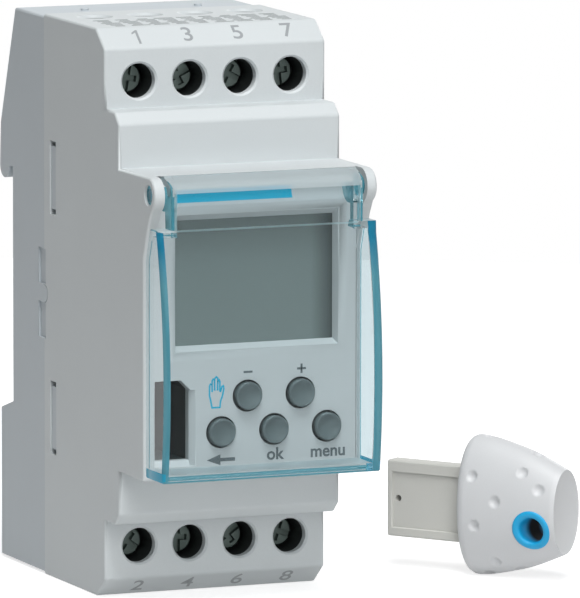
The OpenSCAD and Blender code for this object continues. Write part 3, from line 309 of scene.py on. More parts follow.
def rounded(node, name, body, material, radius, weigh, cuts=(), segments=3):
    """A copy of a CAD node whose outer edges get a moulded radius, weighed edge by edge."""
    solid = merged_solid(node, cuts)
    weight = solid.edges.layers.float.new("bevel_weight_edge")
    for edge in solid.edges:
        if len(edge.link_faces) == 2 and edge.is_convex and edge.calc_face_angle() > math.radians(25):
            ends = [v.co / MM for v in edge.verts]
            edge[weight] = weigh((ends[0] + ends[1]) / 2, ends[1] - ends[0])
    piece = add_piece(name, solid, body, material, (node,))
    piece.data.shade_smooth()
    piece.data.set_sharp_from_angle(angle=math.radians(28))
    bevel = piece.modifiers.new("moulded radius", "BEVEL")
    bevel.limit_method = "WEIGHT"
    bevel.width = radius * MM
    bevel.segments = segments
    bevel.use_clamp_overlap = False
    bevel.harden_normals = True
    return piece


HALF_WIDTH = 17.5
SEAM_Y = -13.3
MOULD_RADIUS = 0.4
NEAR = 0.05
LONG_EDGE = 20
PRY_REACH = 3
PRY_HALF_HEIGHT = 8
base_plastic = moulded("rear base plastic", shade(191, 199, 204), 0.5)


def base_edges(middle, run):
    """Outer corners are round, the seam edge is nearly sharp, and small cut-outs are crisp."""
    if middle.y < SEAM_Y + NEAR:
        return 0.3 if abs(middle.y - SEAM_Y) < NEAR else 0
    if abs(middle.x) > HALF_WIDTH - 0.01 and run.length > 1:
        return 0.25 if middle.y < SEAM_Y + PRY_REACH and abs(middle.z) < PRY_HALF_HEIGHT else 1
    return 1 if abs(run.x) > LONG_EDGE and (abs(middle.z) > 41 or middle.y > 1) else 0


rounded("rear_base", "rear_base_shell", "timer", base_plastic, MOULD_RADIUS,
        base_edges, ((X, 0), (Z, 10), (Z, -10)))

# Rail latch: the black sliding foot under the rail, moulded in tough nylon. Its own spring legs
# push it up, and a screwdriver in its slot pulls it down to free the rail.
black_nylon = moulded("black nylon", shade(34, 35, 38), 0.55, 3800, 0.02 * MM)
rounded("rail_latch", "rail_latch_foot", "rail_latch", black_nylon, 0.3,
        lambda middle, run: 1 if run.length > 1.5 else 0)

# Main board: fibreglass with green solder mask, carrying the supply parts and the relay behind
# and the backup battery in front. It stands on four posts of the rear base.


def dress(material, *nodes):
    for node in nodes:
        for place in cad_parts[node].material_slots:
            place.material = material


def blend(tree, factor, first, second):
    """A colour that goes from the first to the second while a factor goes from 0 to 1."""
    mix = tree.nodes.new("ShaderNodeMix")
    mix.data_type = "RGBA"
    mix.inputs["A"].default_value = first
    mix.inputs["B"].default_value = second
    tree.links.new(factor, mix.inputs["Factor"])
    return mix.outputs["Result"]


def circuit_board(name, colour, copper):
    """Solder mask over etched tracks that run in two directions."""
    material, tree, shader = new_material(name)
    place = tree.nodes.new("ShaderNodeTexCoord").outputs["Object"]
    cells = tree.nodes.new("ShaderNodeTexVoronoi")
    cells.distance = "MANHATTAN"
    cells.feature = "F2"
    cells.inputs["Scale"].default_value = 260
    tree.links.new(place, cells.inputs["Vector"])
    bands = sums(tree, "MULTIPLY", cells.outputs["Distance"], 4)
    track = sums(tree, "LESS_THAN", sums(tree, "FRACT", bands), 0.42)
    tree.links.new(blend(tree, track, colour, copper), shader.inputs["Base Color"])
    bump = tree.nodes.new("ShaderNodeBump")
    bump.inputs["Distance"].default_value = 0.03 * MM
    tree.links.new(track, bump.inputs["Height"])
    tree.links.new(bump.outputs["Normal"], shader.inputs["Normal"])
    shader.inputs["Roughness"].default_value = 0.35
    return material


green_board = circuit_board("green circuit board", shade(18, 82, 46), shade(40, 118, 66))
dress(green_board, "main_board", "display_board")

# Brushed or drawn metal: fine lines along one direction and a little uneven tarnish
drawn_metal, taken, given = new_group(
    "drawn metal",
    (("Colour", "NodeSocketColor", (0.6, 0.6, 0.6, 1)), ("Line Scale", "NodeSocketFloat", 3000),
     ("Tarnish", "NodeSocketFloat", 0.2), ("Roughness", "NodeSocketFloat", 0.3)),
    SURFACE_OUTPUTS)
turned = drawn_metal.nodes.new("ShaderNodeMapping")
turned.inputs["Scale"].default_value = (1, 0.06, 1)
drawn_metal.links.new(drawn_metal.nodes.new("ShaderNodeTexCoord").outputs["Object"], turned.inputs["Vector"])
lines = noise(drawn_metal, turned.outputs["Vector"], taken.outputs["Line Scale"], 3)
stains = noise(drawn_metal, turned.outputs["Vector"], 400, 4)
dull = sums(drawn_metal, "MULTIPLY", stains, taken.outputs["Tarnish"])
bright = sums(drawn_metal, "SUBTRACT", 1.1, dull)
rough = sums(drawn_metal, "MULTIPLY_ADD", lines, 0.15, taken.outputs["Roughness"])
give(drawn_metal, given, tinted(drawn_metal, taken.outputs["Colour"], bright), rough, lines)


def metal(name, colour, roughness, tarnish=0.25, lines=3000):
    values = {"Colour": colour, "Line Scale": lines, "Tarnish": tarnish, "Roughness": roughness}
    material, shader = finish_with(name, drawn_metal, values, 0.004 * MM)
    shader.inputs["Metallic"].default_value = 1
    return material


bright_steel = metal("bright steel", shade(205, 206, 208), 0.22)
gold_pins = metal("gold plated brass", shade(236, 198, 110), 0.2)
dress(bright_steel, "quartz_crystal", "backup_battery")
dress(gold_pins, "link_pins", "key_contacts")
chip_black = moulded("chip resin", shade(30, 31, 33), 0.6, 9000)
dress(chip_black, "microcontroller", "bridge_rectifier", "tact_switches", "link_header")

# Supply parts on the back of the main board: a yellow film capacitor in a moulded box, an
# electrolytic capacitor in a blue sleeve, and a varistor dipped in blue resin.
dress(moulded("yellow capacitor box", shade(222, 188, 52), 0.4, 6000), "x2_capacitor")
dress(moulded("capacitor sleeve", shade(38, 44, 86), 0.25, 9000, 0.004 * MM), "supply_capacitor")
dress(moulded("varistor resin", shade(46, 88, 168), 0.4, 1400, 0.05 * MM), "varistor")

# Relay: copper coil on an iron yoke, an armature on a knife edge that carries the moving contact,
# all under a dull black cover on the back of the main board.
dress(moulded("relay cover plastic", shade(52, 54, 58), 0.45), "relay_cover")
dress(black_nylon, "relay_base")
dress(metal("soft iron", shade(172, 172, 170), 0.4, 0.4), "relay_yoke", "relay_armature")
dress(metal("contact brass", shade(214, 166, 92), 0.28), "relay_moving_contact", "relay_fixed_contact")
dress(metal("enamelled copper wire", shade(186, 98, 52), 0.35, 0.3, 9000), "relay_coil")

# Terminals: black blocks behind the housing wall hold eight screws, each of which draws a zinc
# plated cage up against its copper bar, so that the wire is clamped between them.
black_terminal = moulded("black terminal plastic", shade(22, 26, 27), 0.5, 4200)
dress(black_terminal, "upper_terminal_block", "lower_terminal_block")
dress(metal("tinned copper", shade(196, 150, 120), 0.35), "terminal_bars")
cage_steel = metal("yellow zinc plated steel", shade(206, 200, 172), 0.32, 0.35)
dress(cage_steel, *["terminal_cage_%d" % number for number in range(1, 9)])

HEAD_RADIUS = 2.3
HEAD_FRONT_Y = -32.7
HEAD_BACK_Y = -30.9
SCREW_TIP_Y = -23.6


def node_tree_input(tree, label, kind, value=None):
    socket = tree.interface.new_socket(label, in_out="INPUT", socket_type=kind)
    if value is not None:
        socket.default_value = value
    return socket.identifier


screw_tree = bpy.data.node_groups.new("terminal screw", "GeometryNodeTree")
screw_tree.interface.new_socket("Geometry", in_out="INPUT", socket_type="NodeSocketGeometry")
SCREW_SIZES = {
    "Head Radius": HEAD_RADIUS * MM, "Head Height": (HEAD_BACK_Y - HEAD_FRONT_Y) * MM, "Chamfer": 0.3 * MM,
    "Slot Width": 0.9 * MM, "Slot Depth": 0.9 * MM, "Cross Length": 3.0 * MM, "Thread Radius": 1.62 * MM,
    "Thread Depth": 0.17 * MM, "Thread Pitch": 0.6 * MM, "Shank Length": (SCREW_TIP_Y - HEAD_BACK_Y) * MM,
}
screw_input = {label: node_tree_input(screw_tree, label, "NodeSocketFloat", size)
               for label, size in SCREW_SIZES.items()}
screw_input["Turn"] = node_tree_input(screw_tree, "Turn", "NodeSocketFloat", 0.0)
screw_input["Place"] = node_tree_input(screw_tree, "Place", "NodeSocketVector")
screw_input["Finish"] = node_tree_input(screw_tree, "Finish", "NodeSocketMaterial")
screw_tree.interface.new_socket("Geometry", in_out="OUTPUT", socket_type="NodeSocketGeometry")
sizes = screw_tree.nodes.new("NodeGroupInput").outputs


def grow(kind, **settings):
    """A geometry node with its plain settings made."""
    node = screw_tree.nodes.new(kind)
    for label, value in settings.items():
        setattr(node, label, value)
    return node


def join_to(node, **links):
    """Feeds sockets or numbers into a geometry node by the names of its inputs."""
    for label, value in links.items():
        socket = node.inputs[label.replace("_", " ")]
        if isinstance(value, bpy.types.NodeSocket):
            screw_tree.links.new(value, socket)
        else:
            socket.default_value = value
    return node


def along(x=0.0, y=0.0, z=0.0):
    """A vector made of sockets or numbers."""
    return join_to(grow("ShaderNodeCombineXYZ"), X=x, Y=y, Z=z).outputs[0]


def moved(geometry, shift, turn=(0.0, 0.0, 0.0)):
    transform = join_to(grow("GeometryNodeTransform"), Geometry=geometry, Translation=shift, Rotation=turn)
    return transform.outputs[0]


def joined(operation, *meshes):
    """One solid from two or more, by their union or what they have in common."""
    node = grow("GeometryNodeMeshBoolean", operation=operation, solver="EXACT")
    for mesh in meshes:
        screw_tree.links.new(mesh, node.inputs["Mesh 2"])
    return node.outputs["Mesh"]


# The head is what a barrel and a 45 degree cone have in common, so its rim has a chamfer
HEAD_SIDES = 40
SHANK_SIDES = 24
THREAD_STEPS = 20
twice_chamfer = sums(screw_tree, "MULTIPLY", sizes["Chamfer"], 2)
barrel = join_to(grow("GeometryNodeMeshCylinder"), Vertices=HEAD_SIDES, Radius=sizes["Head Radius"],
                 Depth=sizes["Head Height"])
crown = join_to(grow("GeometryNodeMeshCone"), Vertices=HEAD_SIDES,
                Radius_Bottom=sums(screw_tree, "ADD", sizes["Head Radius"], sizes["Head Height"]),
                Radius_Top=sums(screw_tree, "SUBTRACT", sizes["Head Radius"], twice_chamfer),
                Depth=sums(screw_tree, "ADD", sizes["Head Height"], twice_chamfer))
half_head = sums(screw_tree, "MULTIPLY", sizes["Head Height"], 0.5)
head = joined("INTERSECT", moved(barrel.outputs["Mesh"], along(z=half_head)),
              moved(crown.outputs["Mesh"], along(z=sums(screw_tree, "MULTIPLY", sizes["Chamfer"], -1))))
twice_slot = sums(screw_tree, "MULTIPLY", sizes["Slot Depth"], 2)
past_head = sums(screw_tree, "MULTIPLY", sizes["Head Radius"], 3)
slot_box = join_to(grow("GeometryNodeMeshCube"), Size=along(past_head, sizes["Slot Width"], twice_slot))
cross_box = join_to(grow("GeometryNodeMeshCube"),
                    Size=along(sizes["Slot Width"], sizes["Cross Length"], twice_slot))
carve = grow("GeometryNodeMeshBoolean", operation="DIFFERENCE", solver="EXACT")
screw_tree.links.new(head, carve.inputs["Mesh 1"])
for cutter in (slot_box, cross_box):
    screw_tree.links.new(moved(cutter.outputs["Mesh"], along(z=sizes["Head Height"])), carve.inputs["Mesh 2"])
shank = join_to(grow("GeometryNodeMeshCylinder"), Vertices=SHANK_SIDES, Radius=sizes["Thread Radius"],
                Depth=sums(screw_tree, "ADD", sizes["Shank Length"], sizes["Chamfer"]))
below_head = sums(screw_tree, "SUBTRACT", sizes["Chamfer"], sizes["Shank Length"])
sunk = sums(screw_tree, "MULTIPLY", below_head, 0.5)
blank_screw = joined("UNION", carve.outputs["Mesh"], moved(shank.outputs["Mesh"], along(z=sunk)))
pitches = sums(screw_tree, "DIVIDE", sizes["Shank Length"], sizes["Thread Pitch"])
turns = sums(screw_tree, "SUBTRACT", pitches, 1)
spiral = join_to(grow("GeometryNodeCurveSpiral"), Resolution=THREAD_STEPS, Rotations=turns,
                 Start_Radius=sizes["Thread Radius"], End_Radius=sizes["Thread Radius"],
                 Height=sums(screw_tree, "MULTIPLY", turns, sizes["Thread Pitch"]))
tooth = join_to(grow("GeometryNodeCurvePrimitiveCircle"), Resolution=3, Radius=sizes["Thread Depth"])
thread = join_to(grow("GeometryNodeCurveToMesh"), Curve=spiral.outputs["Curve"],
                 Profile_Curve=tooth.outputs["Curve"], Fill_Caps=True)
half_pitch = sums(screw_tree, "MULTIPLY", sizes["Thread Pitch"], 0.5)
lift = sums(screw_tree, "SUBTRACT", half_pitch, sizes["Shank Length"])
whole = grow("GeometryNodeJoinGeometry")
for part in (blank_screw, moved(thread.outputs["Mesh"], along(z=lift))):
    screw_tree.links.new(part, whole.inputs["Geometry"])
spun = moved(whole.outputs["Geometry"], (0.0, 0.0, 0.0), along(z=sizes["Turn"]))
laid = moved(spun, sizes["Place"], (math.pi / 2, 0.0, 0.0))
real = join_to(grow("GeometryNodeRealizeInstances"), Geometry=laid)
coated = join_to(grow("GeometryNodeSetMaterial"), Geometry=real.outputs["Geometry"], Material=sizes["Finish"])
screw_tree.links.new(coated.outputs["Geometry"], screw_tree.nodes.new("NodeGroupOutput").inputs["Geometry"])


def evaluated(thing):
    """The mesh that an object has once its modifiers have run."""
    result = thing.evaluated_get(bpy.context.evaluated_depsgraph_get())
    return bpy.data.meshes.new_from_object(result)


def made_by_tree(tree, values):
    """Runs a geometry tree once and returns its result as a plain mesh."""
    holder = placed("holder", bpy.data.meshes.new("holder"))
    modifier = holder.modifiers.new("tree", "NODES")
    modifier.node_group = tree
    for identifier, value in values.items():
        modifier[identifier] = value
    mesh = evaluated(holder)
    holder.modifiers.remove(modifier)
    bpy.data.objects.remove(holder)
    return mesh


zinc_screw = metal("zinc plated screw", shade(104, 116, 112), 0.45, 0.5)
FIRST_SCREW_TURN = 0.3
SCREW_TURN_STEP = 1.1
for number in range(1, 9):
    low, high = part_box("terminal_screw_%d" % number)
    axis = (low + high) / 2
    place = (axis.x, HEAD_BACK_Y * MM, axis.z)
    screw = made_by_tree(screw_tree, {
        screw_input["Turn"]: FIRST_SCREW_TURN + SCREW_TURN_STEP * number,
        screw_input["Place"]: place, screw_input["Finish"]: zinc_screw})
    add_piece("clamp_screw_%d" % number, screw, "terminal_screw_%d" % number, zinc_screw,
              ("terminal_screw_%d" % number,))

# Front housing: the light grey stepped shell with two terminal faces, two shoulders, the raised
# block and the ears of the cover. Injection moulded with a fine matt texture.
FACE_Y = -37.7
END_Z = 42.1
END_SLOPE_DEPTH = 3.5
END_SLOPE_HEIGHT = 2.8
HINGE = Vector((0, -54.9, 19.8))
PIN_HOLE_RADIUS = 1.55
SEAM_WINDOWS_Y = -18.5
housing_plastic = moulded("front housing plastic", shade(202, 208, 210), 0.48)


def housing_edges(middle, run):
    """Soft outer corners, and a crisp seam, windows, recesses and pin holes."""
    if abs(middle.y - SEAM_Y) < NEAR:
        return 0
    if abs(middle.x) > HALF_WIDTH - 0.01:
        from_pin = math.hypot(middle.y - HINGE.y, middle.z - HINGE.z)
        if from_pin < PIN_HOLE_RADIUS + 0.1:
            return 0.2
        if middle.y > SEAM_WINDOWS_Y:
            return 0 if abs(middle.z) < END_Z - 0.1 else 1
        return 1
    if abs(run.x) > LONG_EDGE and middle.y < FACE_Y + END_SLOPE_DEPTH + 0.1:
        return 1
    return 0


TERMINAL_Z = 34.4
WIRE_Y = -20
SNAP_WINDOW_Y = -16.9
rounded("front_housing", "front_housing_shell", "timer", housing_plastic, MOULD_RADIUS,
        housing_edges, ((Y, SNAP_WINDOW_Y), (Y, WIRE_Y), (Z, TERMINAL_Z), (Z, -TERMINAL_Z), (Z, HINGE.z)))

# Terminal numbers: pad printed in grey on the sloping edges above and below the access holes.
INK_THICKNESS = 0.03


def lettering(text, size, boldness):
    """Flat text as a mesh in its own plane, centred, with strokes made thicker by its boldness."""
    curve = bpy.data.curves.new("lettering", "FONT")
    curve.body = text
    curve.size = size * MM
    curve.offset = boldness * MM
    curve.align_x = "CENTER"
    curve.align_y = "CENTER"
    curve.extrude = INK_THICKNESS / 2 * MM
    curve.resolution_u = 6
    holder = placed("lettering", curve)
    mesh = evaluated(holder)
    bpy.data.objects.remove(holder)
    return mesh


def stamp(print_layer, mesh, origin, across, up):
    """Adds a flat mark to a print layer, in a plane given by two directions."""
    across, up = Vector(across).normalized(), Vector(up).normalized()
    plane = Matrix((across, up, across.cross(up))).transposed().to_4x4()
    mesh.transform(Matrix.Translation(Vector(origin) * MM) @ plane)
    print_layer.from_mesh(mesh)
    bpy.data.meshes.remove(mesh)


def sunk_in(shape, inward):
    """Gives flat faces the thickness of ink, as closed films that reach into the surface."""
    films = bmesh.ops.extrude_face_region(shape, geom=shape.faces[:])
    sunken = [part for part in films["geom"] if isinstance(part, bmesh.types.BMVert)]
    bmesh.ops.translate(shape, vec=Vector(inward) * INK_THICKNESS * MM, verts=sunken)
    bmesh.ops.recalc_face_normals(shape, faces=shape.faces)


def as_mark(shape):
    """Turns flat faces into a mark as thick as ink."""
    sunk_in(shape, (0, 0, -1))
    mesh = bpy.data.meshes.new("mark")
    shape.to_mesh(mesh)
    shape.free()
    return mesh


def filled(points):
    """A closed outline in millimetres as a thin flat mark."""
    shape = bmesh.new()
    shape.faces.new([shape.verts.new((x * MM, y * MM, INK_THICKNESS / 2 * MM)) for x, y in points])
    return as_mark(shape)


def bar(width, height):
    return filled([(-width / 2, -height / 2), (width / 2, -height / 2), (width / 2, height / 2),
                   (-width / 2, height / 2)])


def ink(name, colour):
    return moulded(name, colour, 0.5, 9000, 0.003 * MM, 0.1)


NUMBER_SIZE = 4.0
NUMBER_BOLDNESS = 0.03
COLUMNS = (-11.6, -3.7, 4.2, 12.1)
slope_y = FACE_Y + END_SLOPE_DEPTH / 2
slope_z = END_Z - END_SLOPE_HEIGHT / 2
# The font's own 1 is a bare stroke, so this one has a flag
FLAGGED_ONE = [(0.3, -1.4), (0.3, 1.4), (0.02, 1.4), (-0.68, 0.9), (-0.68, 0.55), (-0.08, 0.93),
               (-0.08, -1.4)]


def terminal_number(number):
    if number == 1:
        return filled(FLAGGED_ONE)
    return lettering(str(number), NUMBER_SIZE, NUMBER_BOLDNESS)


numbers = bmesh.new()
for column, x in enumerate(COLUMNS):
    stamp(numbers, terminal_number(2 * column + 1), (x, slope_y, slope_z), (1, 0, 0),
          (0, END_SLOPE_DEPTH, END_SLOPE_HEIGHT))
    stamp(numbers, terminal_number(2 * column + 2), (x, slope_y, -slope_z), (1, 0, 0),
          (0, -END_SLOPE_DEPTH, END_SLOPE_HEIGHT))
add_piece("terminal_numbers", numbers, "timer", ink("grey ink", shade(148, 153, 156)))

# Wiring label on the upper end: plain grey bars stand in for its small print.
label = bmesh.new()
LABEL_ROWS = 7
LABEL_ROW_PITCH = 1.3
LABEL_FRONT_Y = -33.2
LABEL_BAR_HEIGHT = 0.55
LABEL_COLUMNS = 9
LABEL_COLUMN_PITCH = 3.3
LABEL_SHORT_BAR = 1.5
LABEL_BAR_SPREAD = 1.4
LABEL_LENGTHS = 4
for row in range(LABEL_ROWS):
    for column in range(LABEL_COLUMNS):
        step = (row * 5 + column * 3) % LABEL_LENGTHS
        length = LABEL_SHORT_BAR + LABEL_BAR_SPREAD * step / (LABEL_LENGTHS - 1)
        x = (column - (LABEL_COLUMNS - 1) / 2) * LABEL_COLUMN_PITCH
        y = LABEL_FRONT_Y + row * LABEL_ROW_PITCH
        stamp(label, bar(length, LABEL_BAR_HEIGHT), (x, y, END_Z), (1, 0, 0), (0, 1, 0))
add_piece("wiring_label", label, "timer", ink("label ink", shade(104, 112, 114)))

# Display: a reflective liquid crystal cell in a white frame, on the control board behind the panel.
# Two contact rubbers join its glass to the board.
lcd_face, taken, given = new_group(
    "display cell with painted edge shade",
    (("Colour", "NodeSocketColor", (0.2, 0.25, 0.24, 1)), ("Roughness", "NodeSocketFloat", 0.12),
     ("Right Edge", "NodeSocketFloat", 13.0 * MM), ("Right Shade", "NodeSocketFloat", 3.4 * MM),
     ("Top Edge", "NodeSocketFloat", 15.0 * MM), ("Top Shade", "NodeSocketFloat", 6.0 * MM)),
    SURFACE_OUTPUTS)
place = lcd_face.nodes.new("ShaderNodeTexCoord").outputs["Object"]
film = noise(lcd_face, place, 9000, 1)
haze = noise(lcd_face, place, 45, 2)
level = sums(lcd_face, "ADD", sums(lcd_face, "MULTIPLY", film, 0.06),
             sums(lcd_face, "MULTIPLY_ADD", haze, 0.1, 0.92))
# Painted shade: the colour darkens towards the window's right and top edges, standing in for the soft shade
# that the window's edge throws on the reflector deep behind the glass
RIGHT_PAINTED_SHADE = 0.25
TOP_PAINTED_SHADE = 0.72
spot = lcd_face.nodes.new("ShaderNodeSeparateXYZ")
lcd_face.links.new(place, spot.inputs[0])
for along_axis, edge, shade_width, darkest in (("X", "Right Edge", "Right Shade", RIGHT_PAINTED_SHADE),
                                               ("Z", "Top Edge", "Top Shade", TOP_PAINTED_SHADE)):
    from_edge = sums(lcd_face, "SUBTRACT", taken.outputs[edge], spot.outputs[along_axis])
    inside = sums(lcd_face, "DIVIDE", from_edge, taken.outputs[shade_width])
    painted_shade_ramp = ramp(lcd_face, inside, first=darkest)
    level = sums(lcd_face, "MULTIPLY", level, painted_shade_ramp.outputs["Result"])
gloss = sums(lcd_face, "MULTIPLY_ADD", film, 0.05, taken.outputs["Roughness"])
give(lcd_face, given, tinted(lcd_face, taken.outputs["Colour"], level), gloss, film)
lcd_material = finish_with("display cell with painted edge shade", lcd_face, {"Colour": shade(120, 133, 132), "Roughness": 0.3},
                           0.002 * MM)[0]
dress(lcd_material, "lcd_glass")
white_plastic = moulded("white plastic", shade(228, 229, 226), 0.45)
dress(white_plastic, "lcd_frame", "lcd_reflector")
dress(moulded("contact rubber", shade(40, 40, 42), 0.8, 3000, 0.03 * MM), "zebra_strips")
dress(moulded("key socket plastic", shade(1, 25, 27), 0.6, 4200), "key_socket")

# Front panel: the grey fascia plate in the raised block, with a bevelled display window, round
# button holes and the key slot. Its marks are printed on it before assembly.
FASCIA_Y = -53.0
PANEL_EDGE_X = 15.5
WINDOW_LOW_Z = -5
WINDOW_HIGH_Z = 17.4
WINDOW_TOP_EDGE_Z = 15
SHORT_EDGE = 0.8
panel_plastic = moulded("front panel plastic", shade(200, 206, 208), 0.42, 5600, 0.008 * MM)


def panel_edges(middle, run):
    """A wide radius round the display window, and slightly broken edges at the buttons and the slot."""
    if middle.y > FASCIA_Y + NEAR or run.length < SHORT_EDGE or abs(middle.x) > PANEL_EDGE_X:
        return 0
    if WINDOW_LOW_Z < middle.z < WINDOW_HIGH_Z and run.length > 5:
        return 0.6 if middle.z > WINDOW_TOP_EDGE_Z else 1
    return 0.1


WINDOW_CUT_Z = 6.25
UPPER_CUT_Z = -10.55
LOWER_CUT_Z = -15.7
KEY_SLOT_CUT_X = -14.3
rounded("front_panel", "front_panel_plate", "timer", panel_plastic, 0.9, panel_edges,
        ((Z, WINDOW_CUT_Z), (Z, UPPER_CUT_Z), (Z, LOWER_CUT_Z), (X, KEY_SLOT_CUT_X)), 5)


def drawn_line(points, width, closed):
    """A line of even width through points, as a thin flat mesh with mitred corners."""
    path = [Vector(p) for p in points]
    count = len(path)
    sides = []
    for k, point in enumerate(path):
        before = path[k - 1] if closed or k else path[k]
        after = path[(k + 1) % count] if closed or k < count - 1 else path[k]
        steps = [(b - a).normalized() for a, b in ((before, point), (point, after)) if a != b]
        normals = [Vector((-s.y, s.x)) for s in steps]
        mitre = sum(normals, Vector((0, 0))).normalized()
        reach = width / 2 / max(0.5, mitre.dot(normals[0]))
        sides.append((point + mitre * reach, point - mitre * reach))
    shape = bmesh.new()
    top = INK_THICKNESS / 2 * MM
    pairs = [[shape.verts.new((p.x * MM, p.y * MM, top)) for p in pair] for pair in sides]
    for k in range(count if closed else count - 1):
        (a, b), (c, d) = pairs[k], pairs[(k + 1) % count]
        shape.faces.new((a, b, d, c))
    return as_mark(shape)


def on_fascia(print_layer, mesh, x, z):
    stamp(print_layer, mesh, (x, FASCIA_Y, z), (1, 0, 0), (0, 0, 1))


grey_print = bmesh.new()
SIGN_LENGTH = 1.4
SIGN_STROKE = 0.32
WORD_SIZE = 2.5
WORD_BOLDNESS = 0.06
WORDS_Z = -19.4
PLUS_X = 7.3
PLUS_Z = -7.0
on_fascia(grey_print, bar(SIGN_LENGTH, SIGN_STROKE), x=-1.15, z=-7.07)
on_fascia(grey_print, bar(SIGN_LENGTH, SIGN_STROKE), PLUS_X, PLUS_Z)
on_fascia(grey_print, bar(SIGN_STROKE, SIGN_LENGTH), PLUS_X, PLUS_Z)
on_fascia(grey_print, lettering("ok", WORD_SIZE, WORD_BOLDNESS), x=3.1, z=WORDS_Z)
on_fascia(grey_print, lettering("menu", WORD_SIZE, WORD_BOLDNESS), x=11.5, z=WORDS_Z)
ARROW = [(-2.25, 0), (-0.1, 0.8), (-0.1, 0.26), (2.2, 0.26), (2.2, -0.26), (-0.1, -0.26), (-0.1, -0.8)]
on_fascia(grey_print, filled(ARROW), x=-5.4, z=-19.75)
add_piece("panel_print_grey", grey_print, "timer",
          ink("dark grey ink", shade(96, 106, 110)))

blue_print = bmesh.new()
STRIPE_LEFT = -12.4
STRIPE_RIGHT = 6.0
STRIPE_LOW = 18.2
STRIPE_HIGH = 19.6
STRIPE_ROWS = 7
TROUGH_RADIUS = 2.8
stripe_rows = []
for row in range(STRIPE_ROWS):
    z = STRIPE_LOW + (STRIPE_HIGH - STRIPE_LOW) * row / (STRIPE_ROWS - 1)
    y = HINGE.y + math.sqrt(TROUGH_RADIUS ** 2 - (z - HINGE.z) ** 2) - INK_THICKNESS / 2
    stripe_rows.append([blue_print.verts.new(Vector((x, y, z)) * MM) for x in (STRIPE_LEFT, STRIPE_RIGHT)])
for low, high in zip(stripe_rows, stripe_rows[1:]):
    blue_print.faces.new((low[0], low[1], high[1], high[0]))
sunk_in(blue_print, (0, 1, 0))
HAND_LINE = 0.25
HAND_X = -6.2
HAND_Z = -9.85
HAND_OUTLINE = [
    (-0.62, -2.2), (0.62, -2.2), (0.72, -1.3), (1.02, -0.5), (1.25, 0.55), (1.15, 0.95), (0.95, 0.85),
    (0.72, 0.15), (0.6, 0.2), (0.62, 1.6), (0.5, 1.85), (0.3, 1.7), (0.28, 2.1), (0.05, 2.3), (-0.15, 2.1),
    (-0.22, 1.95), (-0.45, 2.0), (-0.6, 1.75), (-0.62, 1.25), (-0.85, 1.3), (-1.0, 1.05), (-1.02, -0.4),
    (-0.8, -1.3)]
on_fascia(blue_print, drawn_line(HAND_OUTLINE, HAND_LINE, True), HAND_X, HAND_Z)
for foot, tip in (((0.25, 0.3), (0.28, 1.7)), ((-0.2, 0.3), (-0.22, 1.9)), ((-0.6, 0.1), (-0.62, 1.3))):
    on_fascia(blue_print, drawn_line((foot, tip), HAND_LINE, False), HAND_X, HAND_Z)
add_piece("panel_print_blue", blue_print, "timer", ink("blue ink", shade(0, 174, 210)))

# Buttons: five grey caps with dished faces, moulded with a retaining flange and a stem that
# presses a switch on the control board. Each one slides in its own hole of the front panel.
BUTTON_STEPS = 48
BUTTON_PROFILE = [
    (0.0, -53.5), (0.3, -53.51), (0.6, -53.54), (0.9, -53.59), (1.2, -53.66), (1.45, -53.74), (1.65, -53.82),
    (1.8, -53.87), (1.92, -53.87), (2.0, -53.8), (2.05, -53.68), (2.06, -53.5), (2.02, -53.2), (1.98, -50.9),
    (2.8, -50.9), (2.8, -50.2), (1.2, -50.2), (1.2, -47.9), (0.0, -47.9)]


def turned_on_y(profile, x, z, steps):
    """A solid of revolution about a line along Y, from radius and depth pairs in millimetres."""
    solid = bmesh.new()
    rings = []
    for radius, y in profile:
        if radius == 0:
            rings.append([solid.verts.new((x * MM, y * MM, z * MM))])
            continue
        ring = []
        for angle in [math.tau * k / steps for k in range(steps)]:
            point = ((x + radius * math.cos(angle)) * MM, y * MM, (z + radius * math.sin(angle)) * MM)
            ring.append(solid.verts.new(point))
        rings.append(ring)
    for near, far in zip(rings, rings[1:]):
        for k in range(steps):
            after = k + 1
            corners = [near[k % len(near)], near[after % len(near)], far[after % len(far)], far[k % len(far)]]
            solid.faces.new(list(dict.fromkeys(corners)))
    bmesh.ops.recalc_face_normals(solid, faces=solid.faces)
    return solid


button_plastic = moulded("button plastic", shade(92, 105, 107), 0.5, 4200, 0.012 * MM)
for name in ("minus_button", "plus_button", "back_button", "ok_button", "menu_button"):
    low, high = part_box(name)
    middle = (low + high) / 2 / MM
    solid = turned_on_y(BUTTON_PROFILE, middle.x, middle.z, BUTTON_STEPS)
    cap = add_piece(name + "_cap", solid, name, button_plastic, (name,))
    cap.data.shade_smooth()
    cap.data.set_sharp_from_angle(angle=math.radians(40))

# Cover: the clear blue-green lid, moulded in polycarbonate with its two hinge pins. Its rounded
# edges, pins and arm sides carry a painted deep blue-green, standing in for the light that passes
# through a long way of tinted plastic there.
COVER_HALF_WIDTH = 17.2
COVER_LOW_Z = -21.8
COVER_FRONT_Y = -57.5
WALL_FRONT_Y = -56.5
PIN_ROOT_X = 15.15
STEP_Z = 14.9
KNUCKLE_TOP_Z = 21
RIM_X = 15.7
ARM_X = 14.2
# Below this height the ends of the side walls get a painted glow
PAINTED_GLOW_Z = COVER_LOW_Z + 1.5


def cover_edges(middle, run):
    """Round front corners, top and lower edge, and slightly broken edges elsewhere."""
    if middle.z > KNUCKLE_TOP_Z and abs(middle.y - HINGE.y) < 0.5:
        return 0
    if middle.z > KNUCKLE_TOP_Z and middle.y < COVER_FRONT_Y and run.length > SHORT_EDGE:
        return 1.5
    if run.length < SHORT_EDGE and middle.y > COVER_FRONT_Y - 0.5:
        return 0
    if middle.z < COVER_LOW_Z + 0.1:
        return 0.4
    if middle.y < COVER_FRONT_Y and abs(middle.x) > COVER_HALF_WIDTH - 0.01:
        return 1
    if middle.y < COVER_FRONT_Y and abs(middle.x) > 15:
        return 0.6
    return 0.2


